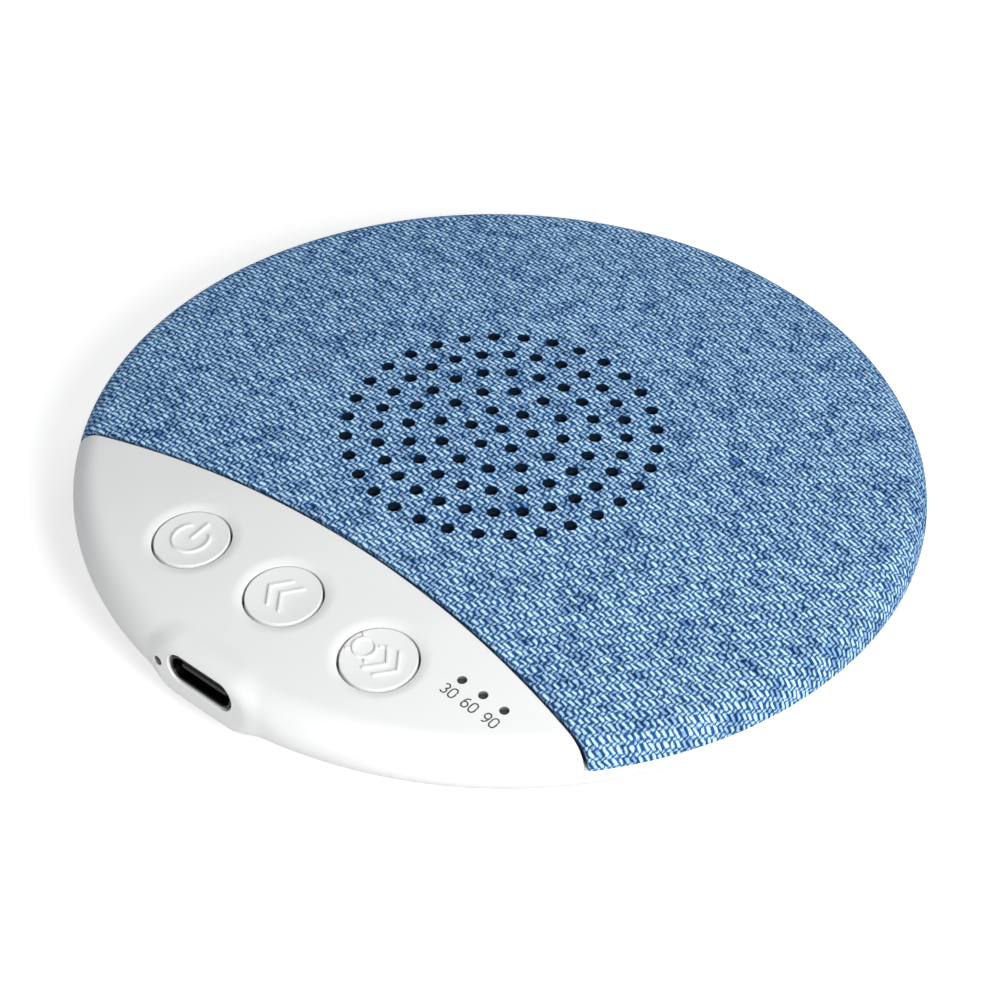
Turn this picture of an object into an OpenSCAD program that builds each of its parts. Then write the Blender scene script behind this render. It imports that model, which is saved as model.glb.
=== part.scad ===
// Pillow speaker: a thin round speaker that lies under a pillow. A white moulded housing carries the
// side wall and the control deck at the front, and a plate wrapped in fabric covers the rest of the top.
// The origin is on the disc's axis, on the surface that the feet stand on. -Y is the front, where the
// charging port is. All sizes are in millimetres.

/* [Body] */
// Diameter of the disc at its widest circle
disc_d = 94; // [90:1:104]
// Height from the surface that the feet stand on to the middle of the domed top
total_h = 13; // [12.8:0.1:15]
// Radius of the shallow dome of the top
dome_r = 280; // [250:5:400]
// Height of the domed top above the widest circle
crown_h = 6.9; // [6.4:0.1:7]
// Radius of the side just below the widest circle
side_r = 4; // [3.6:0.1:4.4]
// Radius of the underside where the side turns into the base
under_r = 12; // [11:0.5:13]
// Angle that the small side radius sweeps before the underside radius takes over
side_sweep = 50; // [46:1:54]
// Wall of the housing
wall = 1.6; // [1.2:0.1:1.8]
// Thickness of the base cover
base_t = 1.4; // [1.2:0.1:1.6]
// Gap between the base cover and the housing around it
base_gap = 0.2; // [0.1:0.05:0.4]
// Width of the flange that the base cover seats against
flange_w = 3; // [2:0.5:4]
// Thickness of that flange
flange_t = 1; // [0.8:0.1:1.2]

/* [Feet and base screws] */
// Diameter of each rubber foot
foot_d = 8; // [7:0.5:9]
// How far the feet stand below the base cover
foot_proud = 0.6; // [0.4:0.1:0.8]
// Depth of the recess that each foot is glued into
foot_seat = 0.5; // [0.4:0.1:0.6]
// Gap around each foot in its recess
foot_gap = 0.1; // [0.05:0.05:0.2]
// Distance of the base screws and feet from the widest circle
base_screw_inset = 13.5; // [13.5:0.5:15]
// Angle of the base screws off the left and right direction
base_screw_angle = 35; // [32:1:38]
// Diameter of the base screws' shanks
base_screw_d = 2; // [1.8:0.1:2.2]
// Diameter of the base screws' heads
base_head_d = 3.8; // [3.4:0.1:4]
// Height of the base screws' heads
base_head_h = 1.1; // [0.9:0.1:1.2]
// Height at which the base cover's screw bosses meet the housing's bosses
boss_split_z = 3.4; // [3.3:0.1:3.7]
// Outside diameter of the housing's screw bosses
boss_d = 6; // [5:0.5:6.5]
// Depth of the top of the housing's screw bosses below the middle of the domed top
boss_drop = 5; // [4.8:0.1:5.5]

/* [Fabric field] */
// Thickness of the fabric
fabric_t = 0.5; // [0.4:0.05:0.7]
// Thickness of the plate under the fabric
plate_t = 1.3; // [1.1:0.1:1.4]
// Radius of the curved seam between the fabric and the control deck
seam_r = 153; // [130:1:200]
// Depth of the control deck from the widest circle to the middle of that seam
deck_depth = 23.2; // [22.6:0.1:23.4]
// Distance of the middle of that seam from the driver's axis
seam_clear = 23.8; // [23.6:0.1:24.4]
// Width of the gap along the seam
seam_gap = 0.3; // [0.2:0.05:0.4]
// How deep the fabric is turned down into the seam
seam_wrap = 1.8; // [1.5:0.1:1.9]
// Width of the stiffening ribs on both sides of the seam
seam_rib_w = 1.2; // [1:0.1:1.3]
// Depth down to which those ribs reach below the middle of the domed top
seam_rib_drop = 5; // [4.8:0.1:5.2]
// How far the fabric's lower edge lies below the widest circle
skirt_drop = 0.1; // [0.05:0.05:0.2]
// Gap between the plate's skirt and the housing below it
skirt_gap = 0.05; // [0.05:0.05:0.15]
// Pitch of the rings of grille holes
hole_pitch = 3.415; // [3.3:0.005:3.5]
// Diameter of the grille holes
hole_d = 1.4; // [1.2:0.1:1.6]

/* [Plate fixing] */
// Wall of the lip on the housing that centres the plate's skirt
lip_w = 1.5; // [1.2:0.1:1.6]
// Gap between that lip and the skirt
lip_gap = 0.4; // [0.3:0.05:0.5]
// Height of the top of the lip above the widest circle
lip_rise = 0.9; // [0.7:0.1:1]
// Depth of the underside of the lip below the widest circle
lip_drop = 1.7; // [1.5:0.1:1.9]
// Distance of the plate's screws from the widest circle
plate_screw_inset = 6.4; // [6:0.1:7]
// Diameter of the shanks of the plate's screws
plate_screw_d = 1.6; // [1.4:0.1:1.8]
// Diameter of the heads of the plate's screws
plate_head_d = 3.4; // [3:0.1:3.6]
// Thickness of the tabs that the plate's screws clamp
tab_t = 1.6; // [1.4:0.1:1.8]
// Width of those tabs
tab_w = 6; // [5:0.5:6.5]

/* [Buttons] */
// Diameter of each button cap
button_d = 8.2; // [8:0.1:9.6]
// Distance between the middles of two buttons
button_pitch = 13.7; // [13.4:0.1:14.2]
// Distance of the row of buttons from the widest circle
button_inset = 13.1; // [12.8:0.1:13.6]
// Gap around each button cap
button_gap = 0.2; // [0.15:0.05:0.3]
// Travel of each button
button_travel = 0.35; // [0.2:0.05:0.4]
// How far the caps lie below the deck's surface
cap_drop = 0.15; // [0.05:0.05:0.3]
// Radius of the finger hollow in each cap
cap_hollow_r = 42; // [35:1:60]
// Width of the dished ring around each button
dish_w = 1.5; // [1.5:0.1:2.2]
// Depth of the dished ring at the edge of the button
dish_depth = 0.25; // [0.2:0.05:0.45]
// Wall of the sleeve that guides each cap
sleeve_wall = 1.2; // [1:0.1:1.3]
// Depth of the underside of the guide sleeves below the middle of the domed top
sleeve_drop = 4.9; // [4.85:0.05:4.95]
// Thickness of the flange that keeps each cap in
cap_flange_t = 0.7; // [0.5:0.1:0.8]

/* [Timer lights] */
// Distance of the middle light hole right of the disc's axis
light_x = 25; // [24.5:0.1:25.5]
// Distance of the row of light holes from the widest circle
light_inset = 16.6; // [16.2:0.1:17]
// Distance between the middles of two light holes
light_pitch = 2.9; // [2.7:0.1:3.1]
// Diameter of the light holes
light_d = 0.9; // [0.9:0.1:1.2]

/* [Charging port] */
// Width of the port's metal shell
port_w = 8.94; // [8.8:0.02:9.2]
// Height of the port's metal shell
port_h = 3.16; // [3:0.02:3.3]
// Depth of the port's middle below the middle of the domed top
port_drop = 6.25; // [6.1:0.05:6.4]
// Depth of the port's metal shell
port_l = 7.3; // [6.5:0.1:7.5]
// Thickness of the port's metal shell
port_wall = 0.3; // [0.2:0.05:0.35]
// Gap between the port's shell and the housing
port_gap = 0.12; // [0.08:0.02:0.2]
// How far the flat face around the port lies inside the widest circle
port_setback = 0.6; // [0.4:0.1:0.8]
// How far the port's shell lies behind that face
port_inset = 0.2; // [0.1:0.1:0.4]
// Width of the raised nose around the port
nose_w = 15; // [14:0.5:16]
// Height of the nose
nose_h = 7.9; // [7.5:0.1:8.2]
// Depth of the nose behind that face
nose_depth = 2.2; // [2:0.1:2.4]
// Rounding of the nose's front edge
nose_round = 1.2; // [0.8:0.1:1.6]
// Distance of the microphone hole left of the port's middle
mic_x = 6.2; // [6:0.1:6.4]
// Depth of the microphone hole below the port's middle
mic_drop = 0.75; // [0.65:0.05:0.85]
// Diameter of the microphone hole
mic_d = 0.9; // [0.7:0.1:1]

/* [Driver] */
// Diameter of the driver's flange
driver_d = 40; // [38:0.5:40]
// Depth of the seat that the driver is clamped against below the middle of the domed top
seat_drop = 3.2; // [3.1:0.05:3.3]
// Thickness of the gasket between the driver and its seat
gasket_t = 0.3; // [0.2:0.05:0.4]
// Thickness of the surround
surround_t = 0.2; // [0.15:0.05:0.25]
// Thickness of the basket's flange
basket_t = 0.6; // [0.5:0.05:0.7]
// Width of the basket's flange
basket_w = 2.2; // [2:0.1:2.4]
// Height of the driver from the underside of its yoke to its seat
driver_h = 6.4; // [6.2:0.1:6.7]
// Height of the yoke
yoke_h = 3.5; // [3.3:0.1:3.6]
// Outside diameter of the yoke
yoke_d = 18; // [17:0.2:18.4]
// Thickness of the yoke's floor
yoke_floor = 0.8; // [0.6:0.1:0.9]
// Diameter of the magnet
magnet_d = 13; // [12:0.2:13.2]
// Thickness of the magnet
magnet_t = 1.8; // [1.6:0.1:1.9]
// Diameter of the pole plate
pole_d = 13.4; // [13:0.1:13.6]
// Inside diameter of the voice coil
coil_d = 14.3; // [14.2:0.1:14.4]
// Thickness of the voice coil
coil_t = 0.45; // [0.3:0.05:0.5]
// Height of the voice coil
coil_h = 2.6; // [2.4:0.1:2.8]
// Gap between the coil's outside and the yoke
coil_gap = 0.4; // [0.3:0.05:0.45]
// Travel of the cone up and down
cone_travel = 0.4; // [0.2:0.05:0.4]
// Diameter of the driver screws' shanks
driver_screw_d = 1.4; // [1.2:0.1:1.5]
// Diameter of the driver screws' wide heads
driver_head_d = 4.2; // [4:0.1:4.4]

/* [Electronics] */
// Thickness of the main board
board_t = 1; // [0.8:0.1:1]
// Gap from the main board's round edge to the widest circle
board_inset = 4.4; // [4.4:0.1:5]
// Half of the main board's width
board_half_w = 29.4; // [29:0.1:32]
// How far the main board's straight edge lies behind the middle of the seam
board_reach = 1.3; // [0.8:0.1:1.5]
// Width of each push switch
switch_w = 5.2; // [4.8:0.1:5.4]
// Height of each push switch
switch_h = 1.5; // [1.3:0.1:1.6]
// Diameter of the plunger of each push switch
plunger_d = 2.4; // [2:0.1:2.6]
// How far each plunger stands out of its switch
plunger_h = 0.45; // [0.4:0.05:0.5]
// Length of the battery cell
cell_l = 30; // [26:1:30]
// Width of the battery cell
cell_w = 16; // [14:0.5:16]
// Thickness of the battery cell
cell_t = 4.4; // [4:0.1:4.8]
// Distance of the battery's middle from the widest circle at the back
cell_inset = 18.2; // [18:0.1:18.4]
// Thickness of the tape that holds the battery
tape_t = 0.5; // [0.3:0.1:0.5]
// Diameter of the insulated leads
lead_d = 1.1; // [0.9:0.1:1.2]

/* [Hidden] */

// How far a cut reaches past what it cuts
over = 1;
disc_r = disc_d / 2;
base_z = foot_proud;
base_top = base_z + base_t;

// Levels that hang from the middle of the domed top
widest_z = total_h - crown_h;
boss_top_z = total_h - boss_drop;
seam_rib_z = total_h - seam_rib_drop;
sleeve_z = total_h - sleeve_drop;
port_z = total_h - port_drop;
seat_z = total_h - seat_drop;
yoke_z = seat_z - driver_h;
skirt_z = widest_z - skirt_drop;
lip_top_z = widest_z + lip_rise;
lip_low_z = widest_z - lip_drop;
mic_z = port_z - mic_drop;

// Distances from the disc's axis that follow the widest circle
base_screw_r = disc_r - base_screw_inset;
plate_screw_r = disc_r - plate_screw_inset;
seam_y = disc_r - deck_depth;
button_y = disc_r - button_inset;
light_y = disc_r - light_inset;
port_face_y = disc_r - port_setback;
board_r = disc_r - board_inset;
board_y = seam_y - board_reach;
cell_y = disc_r - cell_inset;

// The driver's axis keeps its distance from the seam
driver_y = seam_clear - seam_y;

// The outline is four arcs that run into each other smoothly: dome, edge, side and underside
dome_cz = total_h - dome_r;
edge_r = (pow(disc_r, 2) + pow(widest_z - dome_cz, 2) - pow(dome_r, 2)) / (2 * (disc_r - dome_r));
edge_cx = disc_r - edge_r;
side_cx = disc_r - side_r;
under_cx = side_cx - (under_r - side_r) * cos(side_sweep);
under_cz = widest_z + (under_r - side_r) * sin(side_sweep);
function dome_z(x, y) = dome_cz + sqrt(pow(dome_r, 2) - x * x - y * y);

base_r = under_cx - base_gap;
flange_z = base_top;
flange_root = 5;
flange_root_r = disc_r - flange_root;
rib_w = 2;
rib_root_r = disc_r - wall - rib_w / 2;

// Screws: gap where the thread bites, gap where the shank passes, wall around a screw's head,
// floor under the head, depth of each thread past its seat, and the space beyond a screw's end
thread_gap = 0.1;
pass_gap = 0.2;
head_wall = 1.6;
head_gap = 0.3;
head_floor = 1;
boss_roof = 0.8;
boss_gap = 0.2;
plate_bite = 1.8;
driver_bite = 2.2;
board_bite = 2.8;
blind_gap = 0.1;
plate_head_h = 0.9;
base_boss_r = base_head_d / 2 + head_wall;
base_head_seat_z = boss_split_z - head_floor;

seam_cy = -seam_y - seam_r;
board_z = port_z - port_h / 2;
port_front_y = port_face_y - port_inset;
port_back_y = port_front_y - port_l;

// Buttons, from the disc's left to its right
button_x = [-button_pitch, 0, button_pitch];
plunger_top = board_z + switch_h + plunger_h;
stem_d = 3;
flange_gap = 0.1;
flange_margin = 0.4;
cap_flange_top = sleeve_z - flange_gap;
cap_flange_d = button_d + 2 * (sleeve_wall - flange_margin);
hollow_depth = 0.2;
plunger_sunk = 0.6;
plunger_gap = 0.15;
plunger_low = board_z + switch_h - plunger_sunk;

// Light guide: gap around each pin, how much wider a pin is below the bar, and the bar itself
guide_gap = 0.05;
guide_step = 0.2;
guide_w = 2.4;
guide_t = 0.8;
guide_lift = 1.93;
guide_z = board_z + guide_lift;
guide_drop = 0.2;
led_size = [1.6, 0.8, 0.6];

// Grille holes on each ring from the middle outwards, and their number
ring_counts = [1, 6, 12, 20, 28, 32];
seat_w = 2;

// Directions of the screws round the disc
base_screw_angles = [base_screw_angle, 180 - base_screw_angle, 180 + base_screw_angle, -base_screw_angle];
plate_screw_angles = [52, 128, 192, 348];
driver_screw_angles = [45, 135, 225, 315];

// Stack of the driver, from its seat down
gasket_z = seat_z - gasket_t;
land_z = gasket_z - surround_t;
basket_z = land_z - basket_t;
driver_r = driver_d / 2;
driver_head_h = 0.9;
driver_boss_wall = 0.8;
driver_gap = 0.1;
driver_boss_d = driver_screw_d + 2 * driver_boss_wall;
driver_screw_r = driver_r + driver_boss_d / 2 + driver_gap;
coil_r = coil_d / 2 + coil_t;
coil_floor_gap = 0.6;
coil_top = yoke_z + yoke_floor + coil_floor_gap + cone_travel + coil_h;
roll_w = 3.2;
roll_r = 1.8;
roll_rise = 0.9;
cone_t = 0.2;
cone_neck = 0.3;
cone_lip = 0.6;
cone_rim_r = driver_r - basket_w - roll_w;
collar_w = 1.1;
collar_h = 1.2;
window_l = 3.6;
window_w = 4.4;
mesh_t = 0.2;
cap_shell_t = 0.25;
cap_shell_r = 26;
cap_seat_w = 1.4;
strip_w = 6;
strip_t = 0.6;
tag_size = [1.8, 0.9, 0.3];

// Posts on the deck that carry the main board
board_posts = [[-24, 16.5 - disc_r], [18.2, 19.4 - disc_r], [8.6, 7 - disc_r]];
board_post_d = 4.4;
board_screw_d = 1.5;
board_head_d = 3.2;
board_head_h = 0.8;
board_gap = 0.4;

// Small parts on the main board: middle and size of each
module_at = [-8.2, -board_y - 3.9];
module_size = [12, 6.4, 1.6];
amplifier_at = [0.7, -board_y - 3.7];
amplifier_size = [4.6, 4.6, 0.9];
charger_at = [5.1, -board_y - 3.9];
charger_size = [3, 3, 0.8];
inductor_at = [9.2, -board_y - 3.7];
inductor_size = [4, 4, 1.8];
microphone_size = [2.6, 2, 1.5];
mic_margin = 0.6;
mic_y = board_r - mic_margin - microphone_size[1] / 2;
seal_wall = 0.4;
seal_gap = 0.1;
tongue_w = 6.7;
tongue_t = 0.7;
tongue_inset = 0.8;
tongue_back = 2;
capacitor_size = [1.6, 0.8, 0.8];
capacitor_places = [for (p = [[-15.1, 2.5], [-15.1, 4.5], [6.2, 7.5], [2, 7.5]]) [p[0], -board_y - p[1]]];
socket_size = [4.2, 3, 2.4];
speaker_socket_at = [-18.6, -board_y - 1.9];
battery_socket_at = [14.2, -board_y - 2.1];
cell_z = base_top + tape_t;
cell_gap = 0.3;
cell_rib = 1.2;
cell_rib_l = 4;
cell_rib_h = 2.5;
tape_margin = 3;
cell_board_lift = 1;
cell_board_size = [2.4, 14, 3];
cell_corner = 1.8;

// Routes of the leads, along each one's middle. Each starts at its tag and ends in its socket
cell_exit = [cell_l / 2, cell_y - 4.2, cell_z + cell_board_lift + cell_board_size[2] / 2];
battery_entry = [battery_socket_at[0] + 0.7, battery_socket_at[1] + socket_size[1] / 2, board_z + 1.2];
speaker_exit = [-11.1, driver_y - 17.85, basket_z - 0.7];
speaker_entry = [speaker_socket_at[0] - 0.7, speaker_socket_at[1] + socket_size[1] / 2, board_z + 1.2];
battery_route = [
  cell_exit, cell_exit + [1.2, 0, 0], cell_exit + [2.8, -0.4, -0.1], cell_exit + [4.6, -1.7, -0.5],
  [21.2, 20.9, 3.7], [22.6, 18.2, 3], [23.8, 15, 2.7], [24.8, 11, 2.7], [25.2, 6, 2.7], [25.3, 0, 2.7],
  [25.1, -5, 2.7], [24.2, -10, 2.7], [22.6, -14, 2.9], [20.2, -17, 3.6], [17.4, -19.4, 4.8],
  battery_entry + [0.4, 2.3, -0.5], battery_entry + [0, 1.1, 0], battery_entry
];
speaker_route = [
  speaker_exit, speaker_exit + [-0.6, -1.05, -0.2], [-13.2, -19.9, 7.3], [-15.2, -20.3, 6.9],
  speaker_entry + [2.2, 2.6, 0.2], speaker_entry + [1.36, 2.43, 0.1], speaker_entry + [0.64, 1.96, 0],
  speaker_entry + [0.17, 1.24, 0], speaker_entry + [0, 0.4, 0], speaker_entry
];
lead_step = 1.4;

// Half of the outline, moved inwards by t and cut off below z0
module half_outline(t, z0) {
  intersection() {
    translate([0, dome_cz]) circle(r = dome_r - t, $fn = 720);
    union() {
      translate([0, widest_z]) square([edge_cx, total_h]);
      translate([edge_cx, widest_z]) circle(r = edge_r - t, $fn = 96);
    }
    translate([0, widest_z]) square([disc_r + over, total_h]);
  }
  intersection() {
    union() {
      translate([0, z0]) square([under_cx, widest_z - z0]);
      translate([side_cx, widest_z]) circle(r = side_r - t, $fn = 96);
      intersection() {
        translate([under_cx, under_cz]) circle(r = under_r - t, $fn = 180);
        polygon([
          [under_cx, under_cz],
          [under_cx + 2 * under_r * cos(side_sweep), under_cz - 2 * under_r * sin(side_sweep)],
          [under_cx, -under_r]
        ]);
      }
    }
    translate([0, z0]) square([disc_r + over, widest_z - z0]);
  }
}

// Skin of the whole disc between two depths, above level z0
module skin(t_out, t_in, z0) {
  rotate_extrude($fn = 180) intersection() {
    difference() {
      half_outline(t_out, base_z);
      half_outline(t_in, base_z - over);
    }
    translate([0, z0]) square([disc_r + over, total_h]);
  }
}

// The whole height in front of the seam, its edge moved by d towards the fabric
module front_of_seam(d) {
  translate([0, seam_cy, -over]) cylinder(r = seam_r + d, h = total_h + 2 * over, $fn = 360);
}

// A ring that stands on level z
module ring(r_out, r_in, z, h) {
  translate([0, 0, z]) difference() {
    cylinder(r = r_out, h = h, $fn = 120);
    translate([0, 0, -over]) cylinder(r = r_in, h = h + 2 * over, $fn = 120);
  }
}

// A place at distance r from the axis in direction a
module at_polar(r, a) {
  rotate([0, 0, a]) translate([r, 0, 0]) children();
}

// A place on the driver's axis
module at_driver() {
  translate([0, driver_y, 0]) children();
}

// A pin or a hole between two levels
module post(d, z_low, z_high) {
  translate([0, 0, z_low]) cylinder(d = d, h = z_high - z_low, $fn = 48);
}

// A box that stands on level z with its middle at p
module block(p, size, z) {
  translate([p[0] - size[0] / 2, p[1] - size[1] / 2, z]) cube(size);
}

// Slot shape with round ends, middle at the origin
module slot_shape(w, h) {
  square([w - h, h], center = true);
  for (s = [-1, 1]) translate([s * (w - h) / 2, 0]) circle(d = h, $fn = 48);
}

// A slot-shaped bar through the port's middle that runs back from distance y_front to y_back
module port_bar(w, h, y_front, y_back) {
  translate([0, -y_back, port_z]) rotate([90, 0, 0]) linear_extrude(y_front - y_back) slot_shape(w, h);
}

// A screw with a flat head below level z and its shank above
module screw(shank_d, shank_l, head_d, head_h) {
  translate([0, 0, -head_h]) difference() {
    cylinder(d = head_d, h = head_h, $fn = 48);
    for (a = [0, 90]) rotate([0, 0, a]) translate([-head_d / 3, -0.2, -over])
      cube([2 * head_d / 3, 0.4, over + head_h / 2]);
  }
  cylinder(d = shank_d, h = shank_l, $fn = 48);
}

// Nose around the port: a slot-shaped block with a rounded front edge
module nose() {
  half = (nose_w - nose_h) / 2;
  module edge_profile() {
    square([nose_h / 2 - nose_round, nose_depth]);
    square([nose_h / 2, nose_depth - nose_round]);
    translate([nose_h / 2 - nose_round, nose_depth - nose_round]) circle(r = nose_round, $fn = 48);
  }
  intersection() {
    translate([0, nose_depth - port_face_y, port_z]) rotate([90, 0, 0]) {
      for (s = [-1, 1]) translate([s * half, 0, 0]) rotate_extrude($fn = 96)
        intersection() {
          edge_profile();
          square([nose_h, nose_depth]);
        }
      translate([-half, 0, 0]) rotate([90, 0, 90]) linear_extrude(2 * half) {
        edge_profile();
        mirror([1, 0]) edge_profile();
      }
    }
    rotate_extrude($fn = 180) {
      half_outline(0, widest_z - over);
      square([disc_r, widest_z]);
    }
  }
}

// Shallow cone that dishes the deck around a button, square to the dome
module dish(x, y) {
  tilt = asin(norm([x, y]) / dome_r);
  well_r = button_d / 2 + button_gap;
  translate([x, y, dome_z(x, y)]) rotate([0, tilt, atan2(y, x)]) translate([0, 0, -dish_depth])
    cylinder(r1 = well_r - button_gap / 2, r2 = well_r + dish_w, h = dish_depth + cap_drop / 3, $fn = 72);
}

// What the deck carries under its surface: button sleeves, board posts and the rib along the seam
module deck_structure() {
  for (x = button_x) translate([x, -button_y, 0])
    post(button_d + 2 * (button_gap + sleeve_wall), sleeve_z, total_h);
  for (p = board_posts) translate(p) post(board_post_d, board_z, total_h);
  intersection() {
    difference() {
      front_of_seam(-seam_gap / 2);
      front_of_seam(-seam_gap / 2 - seam_rib_w);
    }
    translate([0, 0, seam_rib_z]) cylinder(r = disc_r, h = total_h, $fn = 120);
  }
}

// Lip inside the plate's skirt with the tabs for the plate's screws, as far as the seam
module plate_carrier() {
  lip_r = disc_r - fabric_t - plate_t - lip_gap;
  difference() {
    union() {
      ring(lip_r, lip_r - lip_w, lip_low_z, lip_top_z - lip_low_z);
      ring(disc_r - wall / 2, lip_r - lip_w, lip_low_z, skirt_z - lip_low_z);
      for (a = plate_screw_angles) rotate([0, 0, a]) {
        translate([plate_screw_r, 0, 0]) post(tab_w, lip_top_z - tab_t, lip_top_z);
        translate([plate_screw_r, -tab_w / 2, lip_top_z - tab_t])
          cube([lip_r - lip_w / 3 - plate_screw_r, tab_w, tab_t]);
      }
    }
    front_of_seam(fabric_t + seam_gap);
    for (a = plate_screw_angles) at_polar(plate_screw_r, a)
      post(plate_screw_d + pass_gap, lip_low_z - over, total_h);
  }
}

// Bosses that the base screws bite into, each with a rib to the side wall
module base_bosses() {
  for (a = base_screw_angles) rotate([0, 0, a]) {
    translate([base_screw_r, 0, 0]) post(boss_d, boss_split_z, boss_top_z);
    translate([base_screw_r, -rib_w / 2, boss_split_z])
      cube([rib_root_r - base_screw_r, rib_w, skirt_z - boss_split_z]);
  }
}

// Flange that the base cover seats against, with a notch that clears the battery
module base_flange() difference() {
  notch = [cell_l + 2 * (2 * cell_gap + cell_rib), cell_w + 2 * (2 * cell_gap), flange_t + 2 * over];
  ring(flange_root_r, base_r - flange_w, flange_z, flange_t);
  block([0, cell_y], notch, flange_z - over);
}

// Side wall all round and the whole shell in front of the seam, cut flat where the port's nose stands
module shell() difference() {
  intersection() {
    skin(0, wall, base_z);
    union() {
      cylinder(r = disc_r + over, h = skirt_z, $fn = 120);
      front_of_seam(-seam_gap / 2);
    }
  }
  translate([-nose_w, -disc_r - port_face_y, 0]) cube([2 * nose_w, disc_r, total_h]);
}

// Wells of the button caps and the light holes, as pins through the deck
module deck_holes() {
  for (x = button_x) translate([x, -button_y, 0]) post(button_d + 2 * button_gap, board_z, total_h + over);
  for (i = [-1:1]) translate([light_x + i * light_pitch, -light_y, 0])
    post(light_d, board_z, total_h + over);
}

// Housing: side wall, control deck and everything moulded with them
module housing() color("whitesmoke") difference() {
  union() {
    shell();
    intersection() {
      deck_structure();
      rotate_extrude($fn = 180) half_outline(wall / 2, base_z);
    }
    base_flange();
    plate_carrier();
    base_bosses();
    nose();
  }
  deck_holes();
  for (x = button_x) dish(x, -button_y);
  for (p = board_posts) translate(p)
    post(board_screw_d + thread_gap, board_z - over, board_z + board_bite + blind_gap);
  for (a = base_screw_angles) at_polar(base_screw_r, a) {
    post(base_screw_d + thread_gap, boss_split_z - over, boss_top_z - boss_roof);
    post(2 * (base_boss_r + boss_gap), flange_z - over, boss_split_z);
  }
  port_bar(port_w + 2 * port_gap, port_h + 2 * port_gap, disc_r + over, port_back_y - port_gap);
  translate([-mic_x, 0, mic_z]) rotate([90, 0, 0]) cylinder(d = mic_d, h = disc_r + over, $fn = 36);
}

// Base cover with its screw bosses, foot recesses and the ribs that hold the battery
module base_cover() color("gainsboro") difference() {
  rib_off = cell_gap + cell_rib / 2;
  rib_h = cell_rib_h + base_t;
  union() {
    post(2 * base_r, base_z, base_top);
    for (a = base_screw_angles) at_polar(base_screw_r, a) post(2 * base_boss_r, base_z, boss_split_z);
    for (s = [-1, 1]) {
      block([s * (cell_l / 2 + rib_off), cell_y], [cell_rib, cell_rib_l, rib_h], base_z);
      block([s * (cell_l / 2 - cell_rib_l), cell_y - cell_w / 2 - rib_off],
        [cell_rib_l, cell_rib, rib_h], base_z);
    }
  }
  for (a = base_screw_angles) at_polar(base_screw_r, a) {
    post(foot_d + 2 * foot_gap, base_z - over, base_z + foot_seat);
    post(base_head_d + head_gap, base_z, base_head_seat_z);
    post(base_screw_d + pass_gap, base_z, boss_split_z + over);
  }
}

module base_screws() color("silver")
  for (a = base_screw_angles) at_polar(base_screw_r, a) translate([0, 0, base_head_seat_z])
    screw(base_screw_d, boss_top_z - boss_roof - blind_gap - base_head_seat_z, base_head_d, base_head_h);

module rubber_feet() color("dimgray")
  for (a = base_screw_angles) at_polar(base_screw_r, a) post(foot_d, 0, base_z + foot_seat);

// All the grille holes, as pins through the top
module grille_holes() {
  for (k = [0 : len(ring_counts) - 1]) for (i = [0 : ring_counts[k] - 1])
    at_driver() at_polar(k * hole_pitch, 90 + i * 360 / ring_counts[k])
      post(hole_d, seat_z, total_h + over);
}

// Plate under the fabric: perforated dome, skirt, driver seat, screw bosses and the rib along the seam
module grille_plate() color("dimgray") difference() {
  plate_in = fabric_t + plate_t;
  union() {
    skin(fabric_t, plate_in, skirt_z + skirt_gap);
    intersection() {
      union() {
        at_driver() ring(driver_r, driver_r - seat_w, seat_z, total_h);
        for (a = driver_screw_angles) at_driver() at_polar(driver_screw_r, a)
          post(driver_boss_d, basket_z, total_h);
        for (a = plate_screw_angles) at_polar(plate_screw_r, a)
          post(tab_w - 2 * flange_margin, lip_top_z + skirt_gap, total_h);
        intersection() {
          difference() {
            front_of_seam(seam_gap / 2 + fabric_t + seam_rib_w);
            front_of_seam(seam_gap / 2);
          }
          translate([0, 0, seam_rib_z]) cylinder(r = disc_r, h = total_h, $fn = 120);
        }
      }
      rotate_extrude($fn = 180) half_outline(fabric_t + plate_t / 2, base_z);
    }
  }
  front_of_seam(seam_gap / 2 + fabric_t);
  grille_holes();
  for (a = driver_screw_angles) at_driver() at_polar(driver_screw_r, a)
    post(driver_screw_d + thread_gap, basket_z - over, basket_z + driver_bite + blind_gap);
  for (a = plate_screw_angles) at_polar(plate_screw_r, a)
    post(plate_screw_d + thread_gap, lip_top_z - over, lip_top_z + plate_bite + blind_gap);
}

module plate_screws() color("silver")
  for (a = plate_screw_angles) at_polar(plate_screw_r, a) translate([0, 0, lip_top_z - tab_t])
    screw(plate_screw_d, tab_t + plate_bite, plate_head_d, plate_head_h);

// Fabric skin, turned down into the seam
module fabric_cover() color("steelblue") difference() {
  union() {
    difference() {
      skin(0, fabric_t, skirt_z + skirt_gap);
      front_of_seam(seam_gap / 2);
    }
    intersection() {
      skin(0, seam_wrap, skirt_z + skirt_gap);
      difference() {
        front_of_seam(seam_gap / 2 + fabric_t);
        front_of_seam(seam_gap / 2);
      }
    }
  }
  grille_holes();
}

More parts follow.
